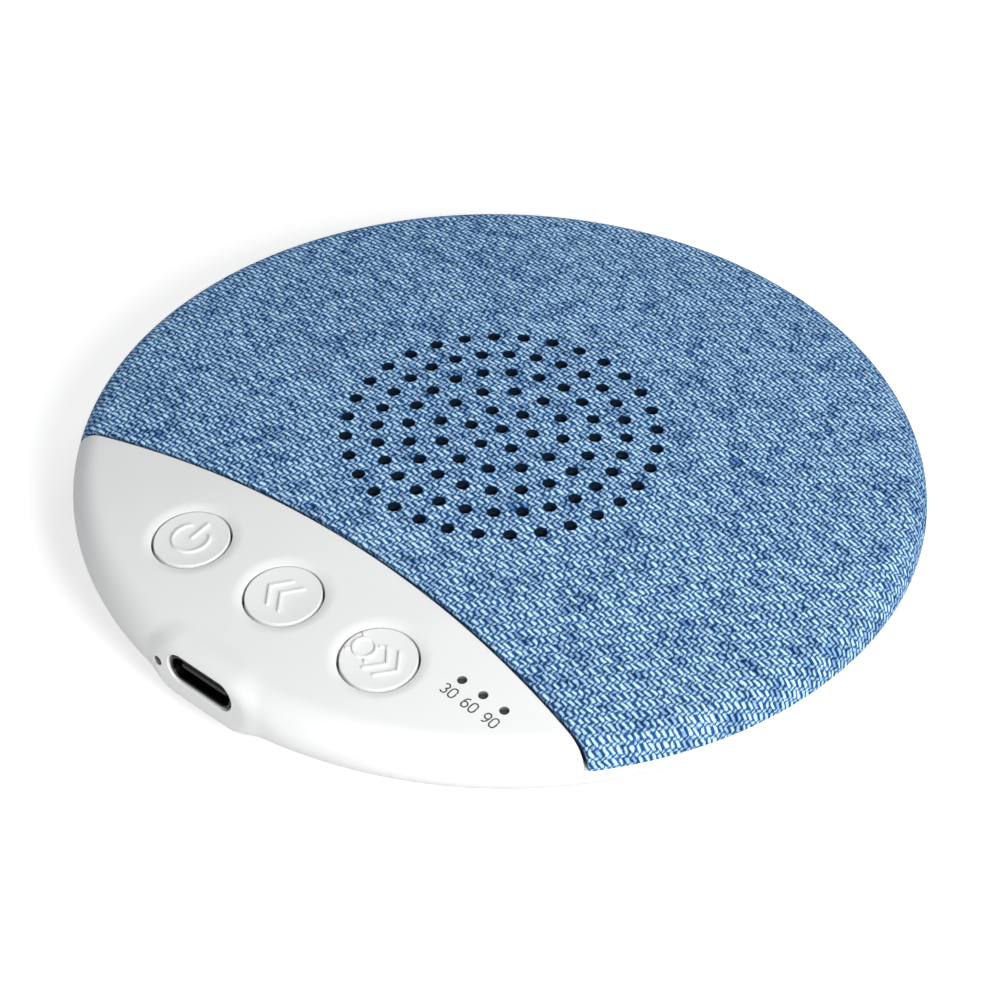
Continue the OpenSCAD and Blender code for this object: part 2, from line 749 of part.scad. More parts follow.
// Button cap: a head that follows the dome, a flange that keeps it in, with two flats that clear the
// port, and a stem on the switch
module button_cap(x) {
  translate([x, -button_y, 0]) {
    post(stem_d, plunger_top, cap_flange_top);
    intersection() {
      post(cap_flange_d, cap_flange_top - cap_flange_t, cap_flange_top);
      cube([2 * cap_flange_d, button_d, 2 * total_h], center = true);
    }
  }
  tilt = asin(norm([x, button_y]) / dome_r);
  difference() {
    intersection() {
      translate([x, -button_y, 0]) post(button_d, cap_flange_top - cap_flange_t / 2, total_h);
      translate([0, 0, dome_cz]) sphere(r = dome_r - cap_drop, $fn = 360);
    }
    translate([x, -button_y, dome_z(x, button_y) - cap_drop]) rotate([0, tilt, atan2(-button_y, x)])
      translate([0, 0, cap_hollow_r - hollow_depth]) sphere(r = cap_hollow_r, $fn = 180);
  }
}

module power_button() color("white") button_cap(button_x[0]);
module back_button() color("white") button_cap(button_x[1]);
module forward_button() color("white") button_cap(button_x[2]);

// Clear guide that carries the light of the three timer lights up through the deck
module light_guide() color("lightgray") {
  pin_d = light_d - 2 * guide_gap;
  block([light_x, -light_y], [2 * light_pitch + guide_w, guide_w, guide_t], guide_z);
  for (i = [-1:1]) {
    x = light_x + i * light_pitch;
    translate([x, -light_y, 0]) {
      post(pin_d, guide_z, dome_z(x + pin_d / 2, light_y + pin_d / 2) - guide_drop);
      post(pin_d + 2 * guide_step, board_z + led_size[2] + guide_gap, guide_z + guide_t / 2);
    }
  }
}

// Stamped basket: flange, shallow cone with windows and the collar that holds the yoke
module basket() color("darkgray") at_driver() difference() {
  collar_r = yoke_d / 2 + collar_w;
  neck_z = yoke_z + yoke_h;
  flange_in = driver_r - basket_w;
  rotate_extrude($fn = 120) polygon([
    [yoke_d / 2, neck_z - collar_h], [collar_r, neck_z - collar_h], [collar_r, neck_z - collar_h / 2],
    [flange_in, basket_z - basket_t / 3], [flange_in, basket_z], [driver_r, basket_z],
    [driver_r, land_z], [flange_in, land_z], [flange_in - 2 * basket_t / 3, basket_z + basket_t / 6],
    [collar_r - 2 * basket_t / 3, neck_z], [yoke_d / 2, neck_z]
  ]);
  for (a = [0 : 60 : 300]) rotate([0, 0, a])
    translate([collar_r + collar_h, -window_w / 2, 0]) cube([window_l, window_w, total_h]);
}

module yoke() color("silver") at_driver() difference() {
  post(yoke_d, yoke_z, yoke_z + yoke_h);
  post(2 * (coil_r + coil_gap), yoke_z + yoke_floor, total_h);
}

module magnet() color("gray") at_driver()
  post(magnet_d, yoke_z + yoke_floor, yoke_z + yoke_floor + magnet_t);

module pole_plate() color("lightgray") at_driver()
  post(pole_d, yoke_z + yoke_floor + magnet_t, yoke_z + yoke_h);

module driver_gasket() color("black") at_driver()
  ring(driver_r, driver_r - seat_w, gasket_z, gasket_t);

// Fine mesh behind the grille holes, inside the driver's seat
module dust_mesh() color("black") intersection() {
  skin(fabric_t + plate_t, fabric_t + plate_t + mesh_t, seat_z);
  at_driver() post(2 * (driver_r - seat_w - driver_gap), seat_z, total_h);
}

module driver_screws() color("silver") at_driver()
  for (a = driver_screw_angles) at_polar(driver_screw_r, a)
    translate([0, 0, basket_z]) screw(driver_screw_d, driver_bite, driver_head_d, driver_head_h);

// Strip with the two solder tags of the driver, riveted under the basket's flange
module terminal_strip() color("peru") at_driver() rotate([0, 0, 240]) {
  strip_l = basket_w - driver_gap;
  translate([driver_r - strip_l, -strip_w / 2, basket_z - strip_t]) cube([strip_l, strip_w, strip_t]);
  tag_z = basket_z - strip_t - tag_size[2] / 2;
  for (s = [-1, 1]) translate([driver_r - tag_size[0] / 2, (s * lead_step - tag_size[1]) / 2, tag_z])
    cube(tag_size);
}

module voice_coil() color("chocolate") at_driver()
  ring(coil_r, coil_d / 2, coil_top - coil_h, coil_h);

// Paper cone from the coil to the surround
module cone() color("black") at_driver() rotate_extrude($fn = 120) polygon([
  [coil_d / 2, coil_top], [coil_r, coil_top], [cone_rim_r, land_z - cone_t],
  [cone_rim_r + cone_lip, land_z - cone_t], [cone_rim_r + cone_lip, land_z],
  [cone_rim_r - cone_t / 2, land_z], [coil_d / 2, coil_top + cone_neck]
]);

// Domed cap over the coil
module dust_cap() color("black") at_driver() {
  cap_r = coil_r + cap_seat_w;
  slope = (land_z - coil_top - cone_neck) / (cone_rim_r - cone_t / 2 - coil_d / 2);
  seat = coil_top + cone_neck + slope * (cap_r - coil_d / 2);
  drop = sqrt(pow(cap_shell_r, 2) - pow(cap_r, 2));
  translate([0, 0, seat - drop]) rotate_extrude($fn = 120) intersection() {
    difference() {
      circle(r = cap_shell_r, $fn = 360);
      circle(r = cap_shell_r - cap_shell_t, $fn = 360);
    }
    translate([0, drop]) square(cap_r);
  }
}

// Rolled surround between the cone and the basket's flange
module surround() color("black") at_driver() {
  roll_cx = (cone_rim_r + cone_lip + driver_r - basket_w) / 2;
  roll_cz = land_z + roll_rise - roll_r;
  half = sqrt(pow(roll_r, 2) - pow(land_z - roll_cz, 2));
  foot = half - surround_t;
  rotate_extrude($fn = 120) {
    intersection() {
      difference() {
        translate([roll_cx, roll_cz]) circle(r = roll_r, $fn = 96);
        translate([roll_cx, roll_cz]) circle(r = roll_r - surround_t, $fn = 96);
      }
      translate([roll_cx - roll_r, land_z]) square([2 * roll_r, roll_r]);
    }
    translate([roll_cx + foot, land_z]) square([driver_r - roll_cx - foot, surround_t]);
    translate([cone_rim_r, land_z]) square([roll_cx - foot - cone_rim_r, surround_t]);
  }
}

// Main board: a round segment under the control deck
module main_board() color("darkgreen") difference() {
  intersection() {
    post(2 * board_r, board_z - board_t, board_z);
    translate([-board_half_w, -disc_d, 0]) cube([2 * board_half_w, disc_d - board_y, total_h]);
  }
  for (p = board_posts) translate(p) post(board_screw_d + pass_gap, 0, total_h);
  for (a = base_screw_angles) at_polar(base_screw_r, a) post(2 * (base_boss_r + board_gap), 0, total_h);
  for (s = [-1, 1]) mirror([s - 1, 0, 0]) rotate([0, 0, -base_screw_angle])
    translate([base_screw_r, -rib_w / 2 - board_gap, 0]) cube(disc_r);
}

module board_screws() color("silver")
  for (p = board_posts) translate([p[0], p[1], board_z - board_t])
    screw(board_screw_d, board_t + board_bite, board_head_d, board_head_h);

module switch_bodies() color("dimgray")
  for (x = button_x) difference() {
    block([x, -button_y], [switch_w, switch_w, switch_h], board_z);
    translate([x, -button_y, 0])
      post(plunger_d + 2 * plunger_gap, plunger_low - button_travel - plunger_gap, total_h);
  }

module plunger(x) translate([x, -button_y, 0])
  post(plunger_d, plunger_low, plunger_top);

module power_plunger() color("sandybrown") plunger(button_x[0]);
module back_plunger() color("sandybrown") plunger(button_x[1]);
module forward_plunger() color("sandybrown") plunger(button_x[2]);

// Metal shell of the charging port
module port_shell() color("silver") difference() {
  port_bar(port_w, port_h, port_front_y, port_back_y);
  port_bar(port_w - 2 * port_wall, port_h - 2 * port_wall, disc_r, port_back_y - over);
}

// Insulator that fills the back of the shell, with the contact tongue in front
module port_tongue() color("black") {
  tongue_size = [tongue_w, port_l - tongue_inset, tongue_t];
  port_bar(port_w - 2 * port_wall, port_h - 2 * port_wall, port_back_y + tongue_back, port_back_y);
  block([0, -port_back_y - tongue_size[1] / 2], tongue_size, port_z - tongue_size[2] / 2);
}

module microphone() color("gold") block([-mic_x, -mic_y], microphone_size, board_z);

// Rubber tube between the microphone and its hole, up to the back of the nose
module microphone_seal() color("black") {
  front_y = mic_y + microphone_size[1] / 2;
  translate([-mic_x, -front_y, mic_z]) rotate([90, 0, 0]) difference() {
    cylinder(d = mic_d + 2 * seal_wall, h = port_face_y - nose_depth - seal_gap - front_y, $fn = 36);
    translate([0, 0, -over]) cylinder(d = mic_d - seal_gap, h = disc_r, $fn = 36);
  }
}

module timer_leds() color("lemonchiffon")
  for (i = [-1:1]) block([light_x + i * light_pitch, -light_y], led_size, board_z);

module radio_module() color("silver") block(module_at, module_size, board_z);
module amplifier_chip() color("black") block(amplifier_at, amplifier_size, board_z);
module charger_chip() color("black") block(charger_at, charger_size, board_z);
module inductor() color("gray") block(inductor_at, inductor_size, board_z);
module capacitors() color("tan") for (p = capacitor_places) block(p, capacitor_size, board_z);
module speaker_socket() color("ivory") block(speaker_socket_at, socket_size, board_z);
module battery_socket() color("ivory") block(battery_socket_at, socket_size, board_z);

// Pouch cell with rounded long edges
module battery_cell() color("lightsteelblue")
  translate([-cell_l / 2, cell_y, cell_z + cell_t / 2]) rotate([90, 0, 90])
    linear_extrude(cell_l - cell_board_size[0]) {
      square([cell_w - 2 * cell_corner, cell_t], center = true);
      square([cell_w, cell_t - 2 * cell_corner], center = true);
      for (sx = [-1, 1]) for (sy = [-1, 1])
        translate([sx * (cell_w / 2 - cell_corner), sy * (cell_t / 2 - cell_corner)])
          circle(r = cell_corner, $fn = 48);
    }

module cell_board() color("orange")
  block([cell_l / 2 - cell_board_size[0] / 2, cell_y], cell_board_size, cell_z + cell_board_lift);

module cell_tape() color("white")
  block([0, cell_y], [cell_l - 2 * tape_margin, cell_w - 2 * tape_margin, tape_t], base_top);

// Tube along a route, with flat ends, moved sideways by shift to its right
module lead(route, shift) {
  sides = 8;
  n = len(route);
  function step(i) = let (a = route[max(0, i - 1)], b = route[min(n - 1, i + 1)]) (b - a) / norm(b - a);
  function across(i) = let (t = step(i), s = cross(t, [0, 0, 1])) s / norm(s);
  function up(i) = cross(across(i), step(i));
  function spoke(i, a) = lead_d / 2 * (cos(a) * across(i) + sin(a) * up(i));
  points = [for (i = [0 : n - 1]) for (k = [0 : sides - 1])
    route[i] + shift * across(i) + spoke(i, k * 360 / sides)];
  faces = concat(
    [[for (k = [0 : sides - 1]) k]],
    [for (i = [0 : n - 2]) for (k = [0 : sides - 1])
      let (a = i * sides + k, b = i * sides + (k + 1) % sides) [a, a + sides, b + sides, b]],
    [[for (k = [sides - 1 : -1 : 0]) (n - 1) * sides + k]]
  );
  polyhedron(points, faces);
}

module battery_lead_plus() color("red") lead(battery_route, 0);
module battery_lead_minus() color("black") lead(battery_route, lead_step);
module speaker_lead_plus() color("red") lead(speaker_route, 0);
module speaker_lead_minus() color("black") lead(speaker_route, -lead_step);

housing();
base_cover();
base_screws();
rubber_feet();
grille_plate();
plate_screws();
fabric_cover();
power_button();
back_button();
forward_button();
light_guide();
basket();
yoke();
magnet();
pole_plate();
driver_gasket();
driver_screws();
terminal_strip();
dust_mesh();
voice_coil();
cone();
dust_cap();
surround();
main_board();
board_screws();
switch_bodies();
power_plunger();
back_plunger();
forward_plunger();
port_shell();
port_tongue();
microphone();
microphone_seal();
timer_leds();
radio_module();
amplifier_chip();
charger_chip();
inductor();
capacitors();
speaker_socket();
battery_socket();
battery_cell();
cell_board();
cell_tape();
battery_lead_plus();
battery_lead_minus();
speaker_lead_plus();
speaker_lead_minus();
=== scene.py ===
# Pillow speaker: a thin round disc with a domed cloth grille, a white control deck with three
# buttons and three timer lights, and a charging inlet in its rim.
# The shapes are worked out in millimetres in the frame of the solids, and MM turns them into metres.
import math
from functools import partial
import bmesh
import bpy
import numpy as np
from mathutils import Matrix, Vector
from mathutils.geometry import delaunay_2d_cdt
from mathutils.kdtree import KDTree


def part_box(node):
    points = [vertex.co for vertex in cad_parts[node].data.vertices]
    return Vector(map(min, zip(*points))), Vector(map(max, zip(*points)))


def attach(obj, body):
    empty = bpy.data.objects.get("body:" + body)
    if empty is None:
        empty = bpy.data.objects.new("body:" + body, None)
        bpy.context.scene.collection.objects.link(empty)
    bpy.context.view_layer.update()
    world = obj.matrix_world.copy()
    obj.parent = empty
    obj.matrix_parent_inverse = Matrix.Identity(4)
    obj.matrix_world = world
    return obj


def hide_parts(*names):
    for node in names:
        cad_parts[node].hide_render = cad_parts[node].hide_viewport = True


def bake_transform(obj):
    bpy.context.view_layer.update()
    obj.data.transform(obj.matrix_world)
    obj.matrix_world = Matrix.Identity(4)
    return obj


MM = 0.001
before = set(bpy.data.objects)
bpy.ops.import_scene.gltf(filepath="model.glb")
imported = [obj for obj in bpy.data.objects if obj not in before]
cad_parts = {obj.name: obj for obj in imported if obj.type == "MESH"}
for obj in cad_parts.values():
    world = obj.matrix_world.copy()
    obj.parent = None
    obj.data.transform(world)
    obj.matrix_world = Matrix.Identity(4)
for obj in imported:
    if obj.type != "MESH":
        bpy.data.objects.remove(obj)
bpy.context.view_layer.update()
scene = bpy.context.scene


# Camera
# It stands in front of the disc to the right, looks down on it at 39 degrees, and sees the middle
# of the dome a little above the middle of the picture. The picture is 1001 pixels wide.
picture_px = 1001.0
focal_px = 3619.6
sensor_mm = 36.0
camera_distance = 395.6
camera_azimuth = math.radians(41.374)
camera_elevation = math.radians(39.243)
camera_roll = math.radians(1.162)
dome_right_px = 1.133
dome_down_px = -71.867
top_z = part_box("fabric_cover")[1].z / MM


def place_camera():
    """The view towards the dome's middle, rolled, then turned so that the middle lies off centre."""
    flat = Vector((math.sin(camera_azimuth), -math.cos(camera_azimuth), 0.0))
    back = flat * math.cos(camera_elevation) + Vector((0, 0, math.sin(camera_elevation)))
    forward = -back
    right = Vector((math.cos(camera_azimuth), math.sin(camera_azimuth), 0.0))
    down = forward.cross(right)
    c, s = math.cos(camera_roll), math.sin(camera_roll)
    right, down = c * right - s * down, s * right + c * down
    right = (right + forward * dome_right_px / focal_px).normalized()
    down = down + forward * dome_down_px / focal_px
    down = (down - right * down.dot(right)).normalized()
    forward = right.cross(down)
    turn = Matrix((right, -down, -forward)).transposed().to_4x4()
    place = Vector((0, 0, top_z)) + back * camera_distance
    camera = bpy.data.objects.new("camera", bpy.data.cameras.new("camera"))
    camera.data.sensor_width = sensor_mm
    camera.data.lens = focal_px * sensor_mm / picture_px
    camera.data.clip_start = 0.01
    camera.matrix_world = Matrix.Translation(place * MM) @ turn
    scene.collection.objects.link(camera)
    scene.camera = camera


place_camera()


# Light and floor
# A soft box to the right of the camera, a wide soft fill from the front and from behind, and a
# bright even room. The floor is a pale sheet.
def area_light(name, at, size, power):
    """A round soft box at a place in millimetres, turned towards the disc."""
    light = bpy.data.lights.new(name, "AREA")
    light.shape = "DISK"
    light.size = size * MM
    light.energy = power
    lamp = bpy.data.objects.new(name, light)
    turn = (Vector((0, 0, 6)) - Vector(at)).to_track_quat("-Z", "Y").to_matrix().to_4x4()
    lamp.matrix_world = Matrix.Translation(Vector(at) * MM) @ turn
    scene.collection.objects.link(lamp)


def light_room():
    area_light("key", (360, -120, 230), 190, 1.74)
    area_light("front", (130, -420, 300), 300, 0.45)
    area_light("back", (-60, 420, 420), 320, 0.58)
    world = bpy.data.worlds.new("room")
    world.use_nodes = True
    background = world.node_tree.nodes["Background"]
    background.inputs["Color"].default_value = (0.93, 0.96, 1.0, 1.0)
    background.inputs["Strength"].default_value = 0.35
    scene.world = world
    scene.view_settings.view_transform = "Standard"


light_room()


def mesh_object(name, points, faces, normals=None, uv=None, dark=None, slot=None, body="case", smooth=True):
    """A piece from points in millimetres, with exact normals where they are given. Its body is a name, or
    None for the stage; the ends of a blend between two bodies are not used, and leave the piece loose."""
    mesh = bpy.data.meshes.new(name)
    mesh.from_pydata((np.asarray(points) * MM).tolist(), [], [list(f) for f in faces])
    mesh.polygons.foreach_set("use_smooth", np.full(len(mesh.polygons), smooth))
    if uv is not None:
        corners = np.zeros(len(mesh.loops), np.int32)
        mesh.loops.foreach_get("vertex_index", corners)
        layer = mesh.uv_layers.new(name="cloth")
        layer.data.foreach_set("uv", np.asarray(uv, np.float32)[corners].ravel())
    # The 'dark' attribute carries painted shade: how far down an opening each point lies, which the
    # materials turn into darkness
    if dark is not None:
        depth = mesh.attributes.new("dark", "FLOAT", "POINT")
        depth.data.foreach_set("value", np.asarray(dark, np.float32))
    mesh.update()
    if normals is not None:
        mesh.normals_split_custom_set_from_vertices(np.asarray(normals).tolist())
    piece = bpy.data.objects.new(name, mesh)
    scene.collection.objects.link(piece)
    if body is None:
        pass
    elif isinstance(body, str):
        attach(piece, body)
    else:
        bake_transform(piece)
    return piece


def fill(socket, value):
    """Sets a socket to a number or a colour, or links it to the socket that feeds it."""
    if isinstance(value, bpy.types.NodeSocket):
        socket.id_data.links.new(value, socket)
    else:
        socket.default_value = (*value, 1.0) if isinstance(value, tuple) else value


def put(material, name, value):
    """Gives one input of a material's shader a number, a colour or a socket."""
    fill(material.node_tree.nodes["Principled BSDF"].inputs[name], value)


def new_material(name, color, roughness, metallic=0.0):
    material = bpy.data.materials.new(name)
    material.use_nodes = True
    put(material, "Base Color", color)
    put(material, "Roughness", roughness)
    put(material, "Metallic", metallic)
    return material


def maths(operation, *values):
    """A Math node over sockets and numbers, in the node tree of its first socket."""
    tree = next(v.id_data for v in values if isinstance(v, bpy.types.NodeSocket))
    node = tree.nodes.new("ShaderNodeMath")
    node.operation = operation
    for socket, value in zip(node.inputs, values):
        fill(socket, value)
    return node.outputs[0]


plus, minus, times, over = (partial(maths, kind) for kind in ("ADD", "SUBTRACT", "MULTIPLY", "DIVIDE"))
whole, size_of, larger = (partial(maths, kind) for kind in ("FLOOR", "ABSOLUTE", "MAXIMUM"))
scaled = partial(maths, "MULTIPLY_ADD")


def reach(a, b):
    """Length of a way from its two sides."""
    return maths("SQRT", plus(times(a, a), times(b, b)))


def eased(value, low, high, low_to=0.0, high_to=1.0):
    """A value carried smoothly from one range to another and held at its ends."""
    node = value.id_data.nodes.new("ShaderNodeMapRange")
    node.interpolation_type = "SMOOTHSTEP"
    names = ("Value", "From Min", "From Max", "To Min", "To Max")
    for name, given in zip(names, (value, low, high, low_to, high_to)):
        fill(node.inputs[name], given)
    return node.outputs[0]


def own_place(material):
    """The place on the piece itself, as a vector in metres."""
    return material.node_tree.nodes.new("ShaderNodeTexCoord").outputs["Object"]


def parts_of(vector):
    """The three values of a vector."""
    node = vector.id_data.nodes.new("ShaderNodeSeparateXYZ")
    fill(node.inputs[0], vector)
    return node.outputs


def chance_of(across, down, number=0.0):
    """A chance from 0 to 1 for each pair of whole values; other numbers give other chances."""
    cell = across.id_data.nodes.new("ShaderNodeCombineXYZ")
    for socket, value in zip(cell.inputs, (across, down, number)):
        fill(socket, value)
    node = across.id_data.nodes.new("ShaderNodeTexWhiteNoise")
    fill(node.inputs["Vector"], cell.outputs[0])
    return node.outputs["Value"]


def cloudy(material, size, detail=2.0, stretch=(1.0, 1.0, 1.0)):
    """Noise with cells of a size in millimetres, fixed to the piece."""
    spread = material.node_tree.nodes.new("ShaderNodeMapping")
    spread.inputs["Scale"].default_value = [1 / (size * MM * k) for k in stretch]
    fill(spread.inputs["Vector"], own_place(material))
    node = material.node_tree.nodes.new("ShaderNodeTexNoise")
    node.inputs["Scale"].default_value = 1.0
    node.inputs["Detail"].default_value = detail
    fill(node.inputs["Vector"], spread.outputs["Vector"])
    return node.outputs["Fac"]


def painted_shade(material):
    """The mesh's own measure of how deep a place lies in an opening, from 0 to 1, by which the materials
    paint shade there.
    """
    node = material.node_tree.nodes.new("ShaderNodeAttribute")
    node.attribute_name = "dark"
    return node.outputs["Fac"]


def mixed(factor, low, high):
    """One colour over another by a factor; a colour is a triple or a socket."""
    node = factor.id_data.nodes.new("ShaderNodeMix")
    node.data_type = "RGBA"
    # Inputs 6 and 7 and output 2 are the node's colours
    fill(node.inputs["Factor"], factor)
    fill(node.inputs[6], low)
    fill(node.inputs[7], high)
    return node.outputs[2]


def raised(material, height, depth):
    """Turns a height from 0 to 1 into relief of a depth in millimetres."""
    node = material.node_tree.nodes.new("ShaderNodeBump")
    node.inputs["Distance"].default_value = depth * MM
    node.inputs["Strength"].default_value = 1.0
    fill(node.inputs["Height"], height)
    put(material, "Normal", node.outputs["Normal"])


def put_floor():
    """The camera sees the floor a little brighter than it lights the disc."""
    half = 1500.0
    corners = [(-half, -half, 0), (half, -half, 0), (half, half, 0), (-half, half, 0)]
    floor = mesh_object("floor", corners, [(0, 1, 2, 3)], body=None)
    material = new_material("floor", (0.76, 0.76, 0.76), 0.8)
    seen = material.node_tree.nodes.new("ShaderNodeLightPath")
    put(material, "Emission Color", (1.0, 0.99, 0.98))
    put(material, "Emission Strength", times(seen.outputs["Is Camera Ray"], 0.5))
    floor.data.materials.append(material)


put_floor()


# Fabric cover
# A blue twill cloth glued over the grille plate. It wraps the rounded rim and is turned down into
# the seam along the control deck, and the grille holes are punched through cloth and plate together.
disc_r = (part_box("housing")[1].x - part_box("housing")[0].x) / 2 / MM
base_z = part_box("housing")[0].z / MM
widest_z = top_z - 6.9
dome_r = 280.0
side_r = 4.0
under_r = 12.0
side_sweep = math.radians(50)
dome_cz = top_z - dome_r
edge_r = (disc_r**2 + (widest_z - dome_cz) ** 2 - dome_r**2) / (2 * (disc_r - dome_r))
edge_cx = disc_r - edge_r
side_cx = disc_r - side_r
under_cx = side_cx - (under_r - side_r) * math.cos(side_sweep)
under_cz = widest_z + (under_r - side_r) * math.sin(side_sweep)
dome_tilt = math.atan2(edge_cx, widest_z - dome_cz)

# The outline as arcs from the top down: tilt where each starts and ends, centre and radius
arcs = [
    (0.0, dome_tilt, 0.0, dome_cz, dome_r),
    (dome_tilt, math.pi / 2, edge_cx, widest_z, edge_r),
    (math.pi / 2, math.pi / 2 + side_sweep, side_cx, widest_z, side_r),
    (math.pi / 2 + side_sweep, math.pi, under_cx, under_cz, under_r),
]

seam_r = 153.0
seam_cy = -(disc_r - 23.2) - seam_r
seam_gap = 0.3
skirt_z = widest_z - 0.1
hole_r = 0.7
hole_pitch = 3.415
ring_counts = [1, 6, 12, 20, 28, 32]
hole_steps = 24
cloth_t = 0.5
cloth_turn = 0.14
hem_turn = 0.3
hem_depth = 1.2
# Depths from which the painted shade on the hem's wall and the holes' walls is full
hem_shade_depth = 0.42
hole_shade_depth = 0.06
uv_span = 100.0


def on_outline(s):
    """Distance from the axis, height and tilt at lengths along the outline from the dome's middle."""
    r, z, tilt = np.zeros_like(s), np.zeros_like(s), np.zeros_like(s)
    start = 0.0
    for low, high, cx, cz, radius in arcs:
        here = s >= start
        turn = low + (s - start) / radius
        r[here] = cx + radius * np.sin(turn[here])
        z[here] = cz + radius * np.cos(turn[here])
        tilt[here] = turn[here]
        start += radius * (high - low)
    return r, z, tilt


def ways(turn):
    """Steps of length one in plan, at these angles."""
    return np.column_stack([np.cos(turn), np.sin(turn)])


def turns(count):
    """Even angles once round."""
    return np.arange(count) * 2 * math.pi / count


def lengths(plan):
    return np.hypot(plan[:, 0], plan[:, 1])


def unit(vectors):
    return vectors / np.linalg.norm(vectors, axis=1)[:, None]


def lift(flat):
    """Points of the unrolled disc put on the body, with the body's normals there."""
    s = np.maximum(lengths(flat), 1e-9)
    way = flat / s[:, None]
    r, z, tilt = on_outline(s)
    points = np.column_stack([way * r[:, None], z])
    normals = np.column_stack([way * np.sin(tilt)[:, None], np.cos(tilt)])
    return points, normals


def over_arcs(points):
    """For each arc of the outline: which points lie over it or further down, how far along the
    outline they are if they lie over it, and how far out from it."""
    r, z = lengths(points), points[:, 2]
    start = 0.0
    here = np.ones_like(r, bool)
    for low, high, cx, cz, radius in arcs:
        turn = np.arctan2(r - cx, z - cz)
        turn = np.where(turn < -math.pi / 2, turn + 2 * math.pi, turn)
        here = here & (turn >= low)
        yield here, start + radius * (turn - low), np.hypot(r - cx, z - cz) - radius
        start += radius * (high - low)


def unroll(points):
    """The places on the unrolled disc whose normals pass through these points."""
    r = lengths(points)
    s = np.zeros_like(r)
    for here, along, _ in over_arcs(points):
        s[here] = along[here]
    return points[:, :2] / np.maximum(r, 1e-9)[:, None] * s[:, None]


def length_at(z):
    """Length along the outline down to a height below the widest circle."""
    ends = np.cumsum([radius * (high - low) for low, high, _, _, radius in arcs])
    turn = math.acos(max(-1.0, (z - widest_z) / side_r))
    if turn <= math.pi / 2 + side_sweep:
        return ends[1] + side_r * (turn - math.pi / 2)
    turn = math.acos((z - under_cz) / under_r)
    return ends[2] + under_r * (turn - math.pi / 2 - side_sweep)


def top_height(x, y):
    """Height of the undressed top at a place in plan."""
    r = np.minimum(np.hypot(x, y), disc_r)
    dome = dome_cz + np.sqrt(dome_r**2 - r**2)
    edge = widest_z + np.sqrt(np.maximum(edge_r**2 - (r - edge_cx) ** 2, 0))
    return np.where(r < dome_r * math.sin(dome_tilt), dome, edge)


def spaced(line, step):
    """The same line with its points at even distances, without its last one."""
    run = np.concatenate([[0], np.cumsum(np.hypot(*np.diff(line, axis=0).T))])
    at = np.linspace(0, run[-1], max(2, round(run[-1] / step)) + 1)[:-1]
    return np.column_stack([np.interp(at, run, line[:, k]) for k in range(2)])


def on_top(x, y):
    """Places in plan on the undressed top, unrolled."""
    return unroll(np.column_stack([x, y, top_height(x, y)]))


def field_border(radius, low_s, step):
    """Border of the cloth's field on the unrolled disc: along the seam and back around the rim."""
    widest_s = length_at(widest_z)
    half = math.acos((disc_r**2 - seam_cy**2 - radius**2) / (2 * seam_cy * radius))
    turn = np.linspace(-half, half, 4000)
    seam = on_top(radius * np.sin(turn), seam_cy + radius * np.cos(turn))
    ends = [seam[k] / np.hypot(*seam[k]) for k in (0, -1)]
    seam = seam[lengths(seam) < min(widest_s, low_s)]
    seam = np.vstack([ends[0] * low_s, seam, ends[1] * low_s])
    start, end = (math.atan2(w[1], w[0]) for w in (ends[1], ends[0]))
    rim = low_s * ways(np.linspace(start, end + 2 * math.pi, 4000))
    return np.vstack([spaced(seam, step), spaced(rim, step)])


def circle(x, y, radius, count):
    """A clockwise circle of points in plan on the top, unrolled."""
    turn = -turns(count)
    return on_top(x + radius * np.cos(turn), y + radius * np.sin(turn))


def hexagons(step, half, middle=(0.0, 0.0)):
    """Points of an even triangular grid over a square."""
    rows = int(half / (step * math.sqrt(3) / 2))
    cols = int(half / step)
    j, i = np.mgrid[-rows : rows + 1, -cols : cols + 1]
    x = (i + 0.5 * (j % 2)) * step
    y = j * step * math.sqrt(3) / 2
    return np.column_stack([x.ravel(), y.ravel()]) + np.array(middle)


def clear_of(points, others, gap):
    """Those points that keep a distance from all the others."""
    tree = KDTree(len(others))
    for k, p in enumerate(others):
        tree.insert((p[0], p[1], 0.0), k)
    tree.balance()
    away = np.array([tree.find((p[0], p[1], 0.0))[2] for p in points])
    return points[away > gap]


def only_used(points, faces):
    """The points that the faces use, the faces over them, and where each point now is, or -1."""
    used = np.unique(faces)
    new = np.full(len(points), -1)
    new[used] = np.arange(len(used))
    return points[used], new[faces], new


def cross(a, b):
    return a[:, 0] * b[:, 1] - a[:, 1] * b[:, 0]


def triangulate(loops, free, inside):
    """Triangles over the unrolled disc that respect the loops, and where each loop's points are."""
    flat = np.vstack(loops + [free])
    edges, start = [], 0
    for loop in loops:
        n = len(loop)
        edges += [(start + k, start + (k + 1) % n) for k in range(n)]
        start += n
    found, _, faces, origin, _, _ = delaunay_2d_cdt([Vector(p) for p in flat.tolist()], edges, [], 0, 1e-7)
    place = np.zeros(len(flat), int)
    for k, sources in enumerate(origin):
        place[list(sources)] = k
    flat = np.array([tuple(p) for p in found])
    faces = np.array(faces)
    faces = faces[inside(flat[faces].mean(axis=1))]
    a, b, c = (flat[faces[:, k]] for k in range(3))
    clockwise = cross(b - a, c - a) < 0
    faces[clockwise] = faces[clockwise][:, ::-1]
    flat, faces, new = only_used(flat, faces)
    at, start = [], 0
    for loop in loops:
        at.append(new[place[start : start + len(loop)]])
        start += len(loop)
    return flat, faces, at


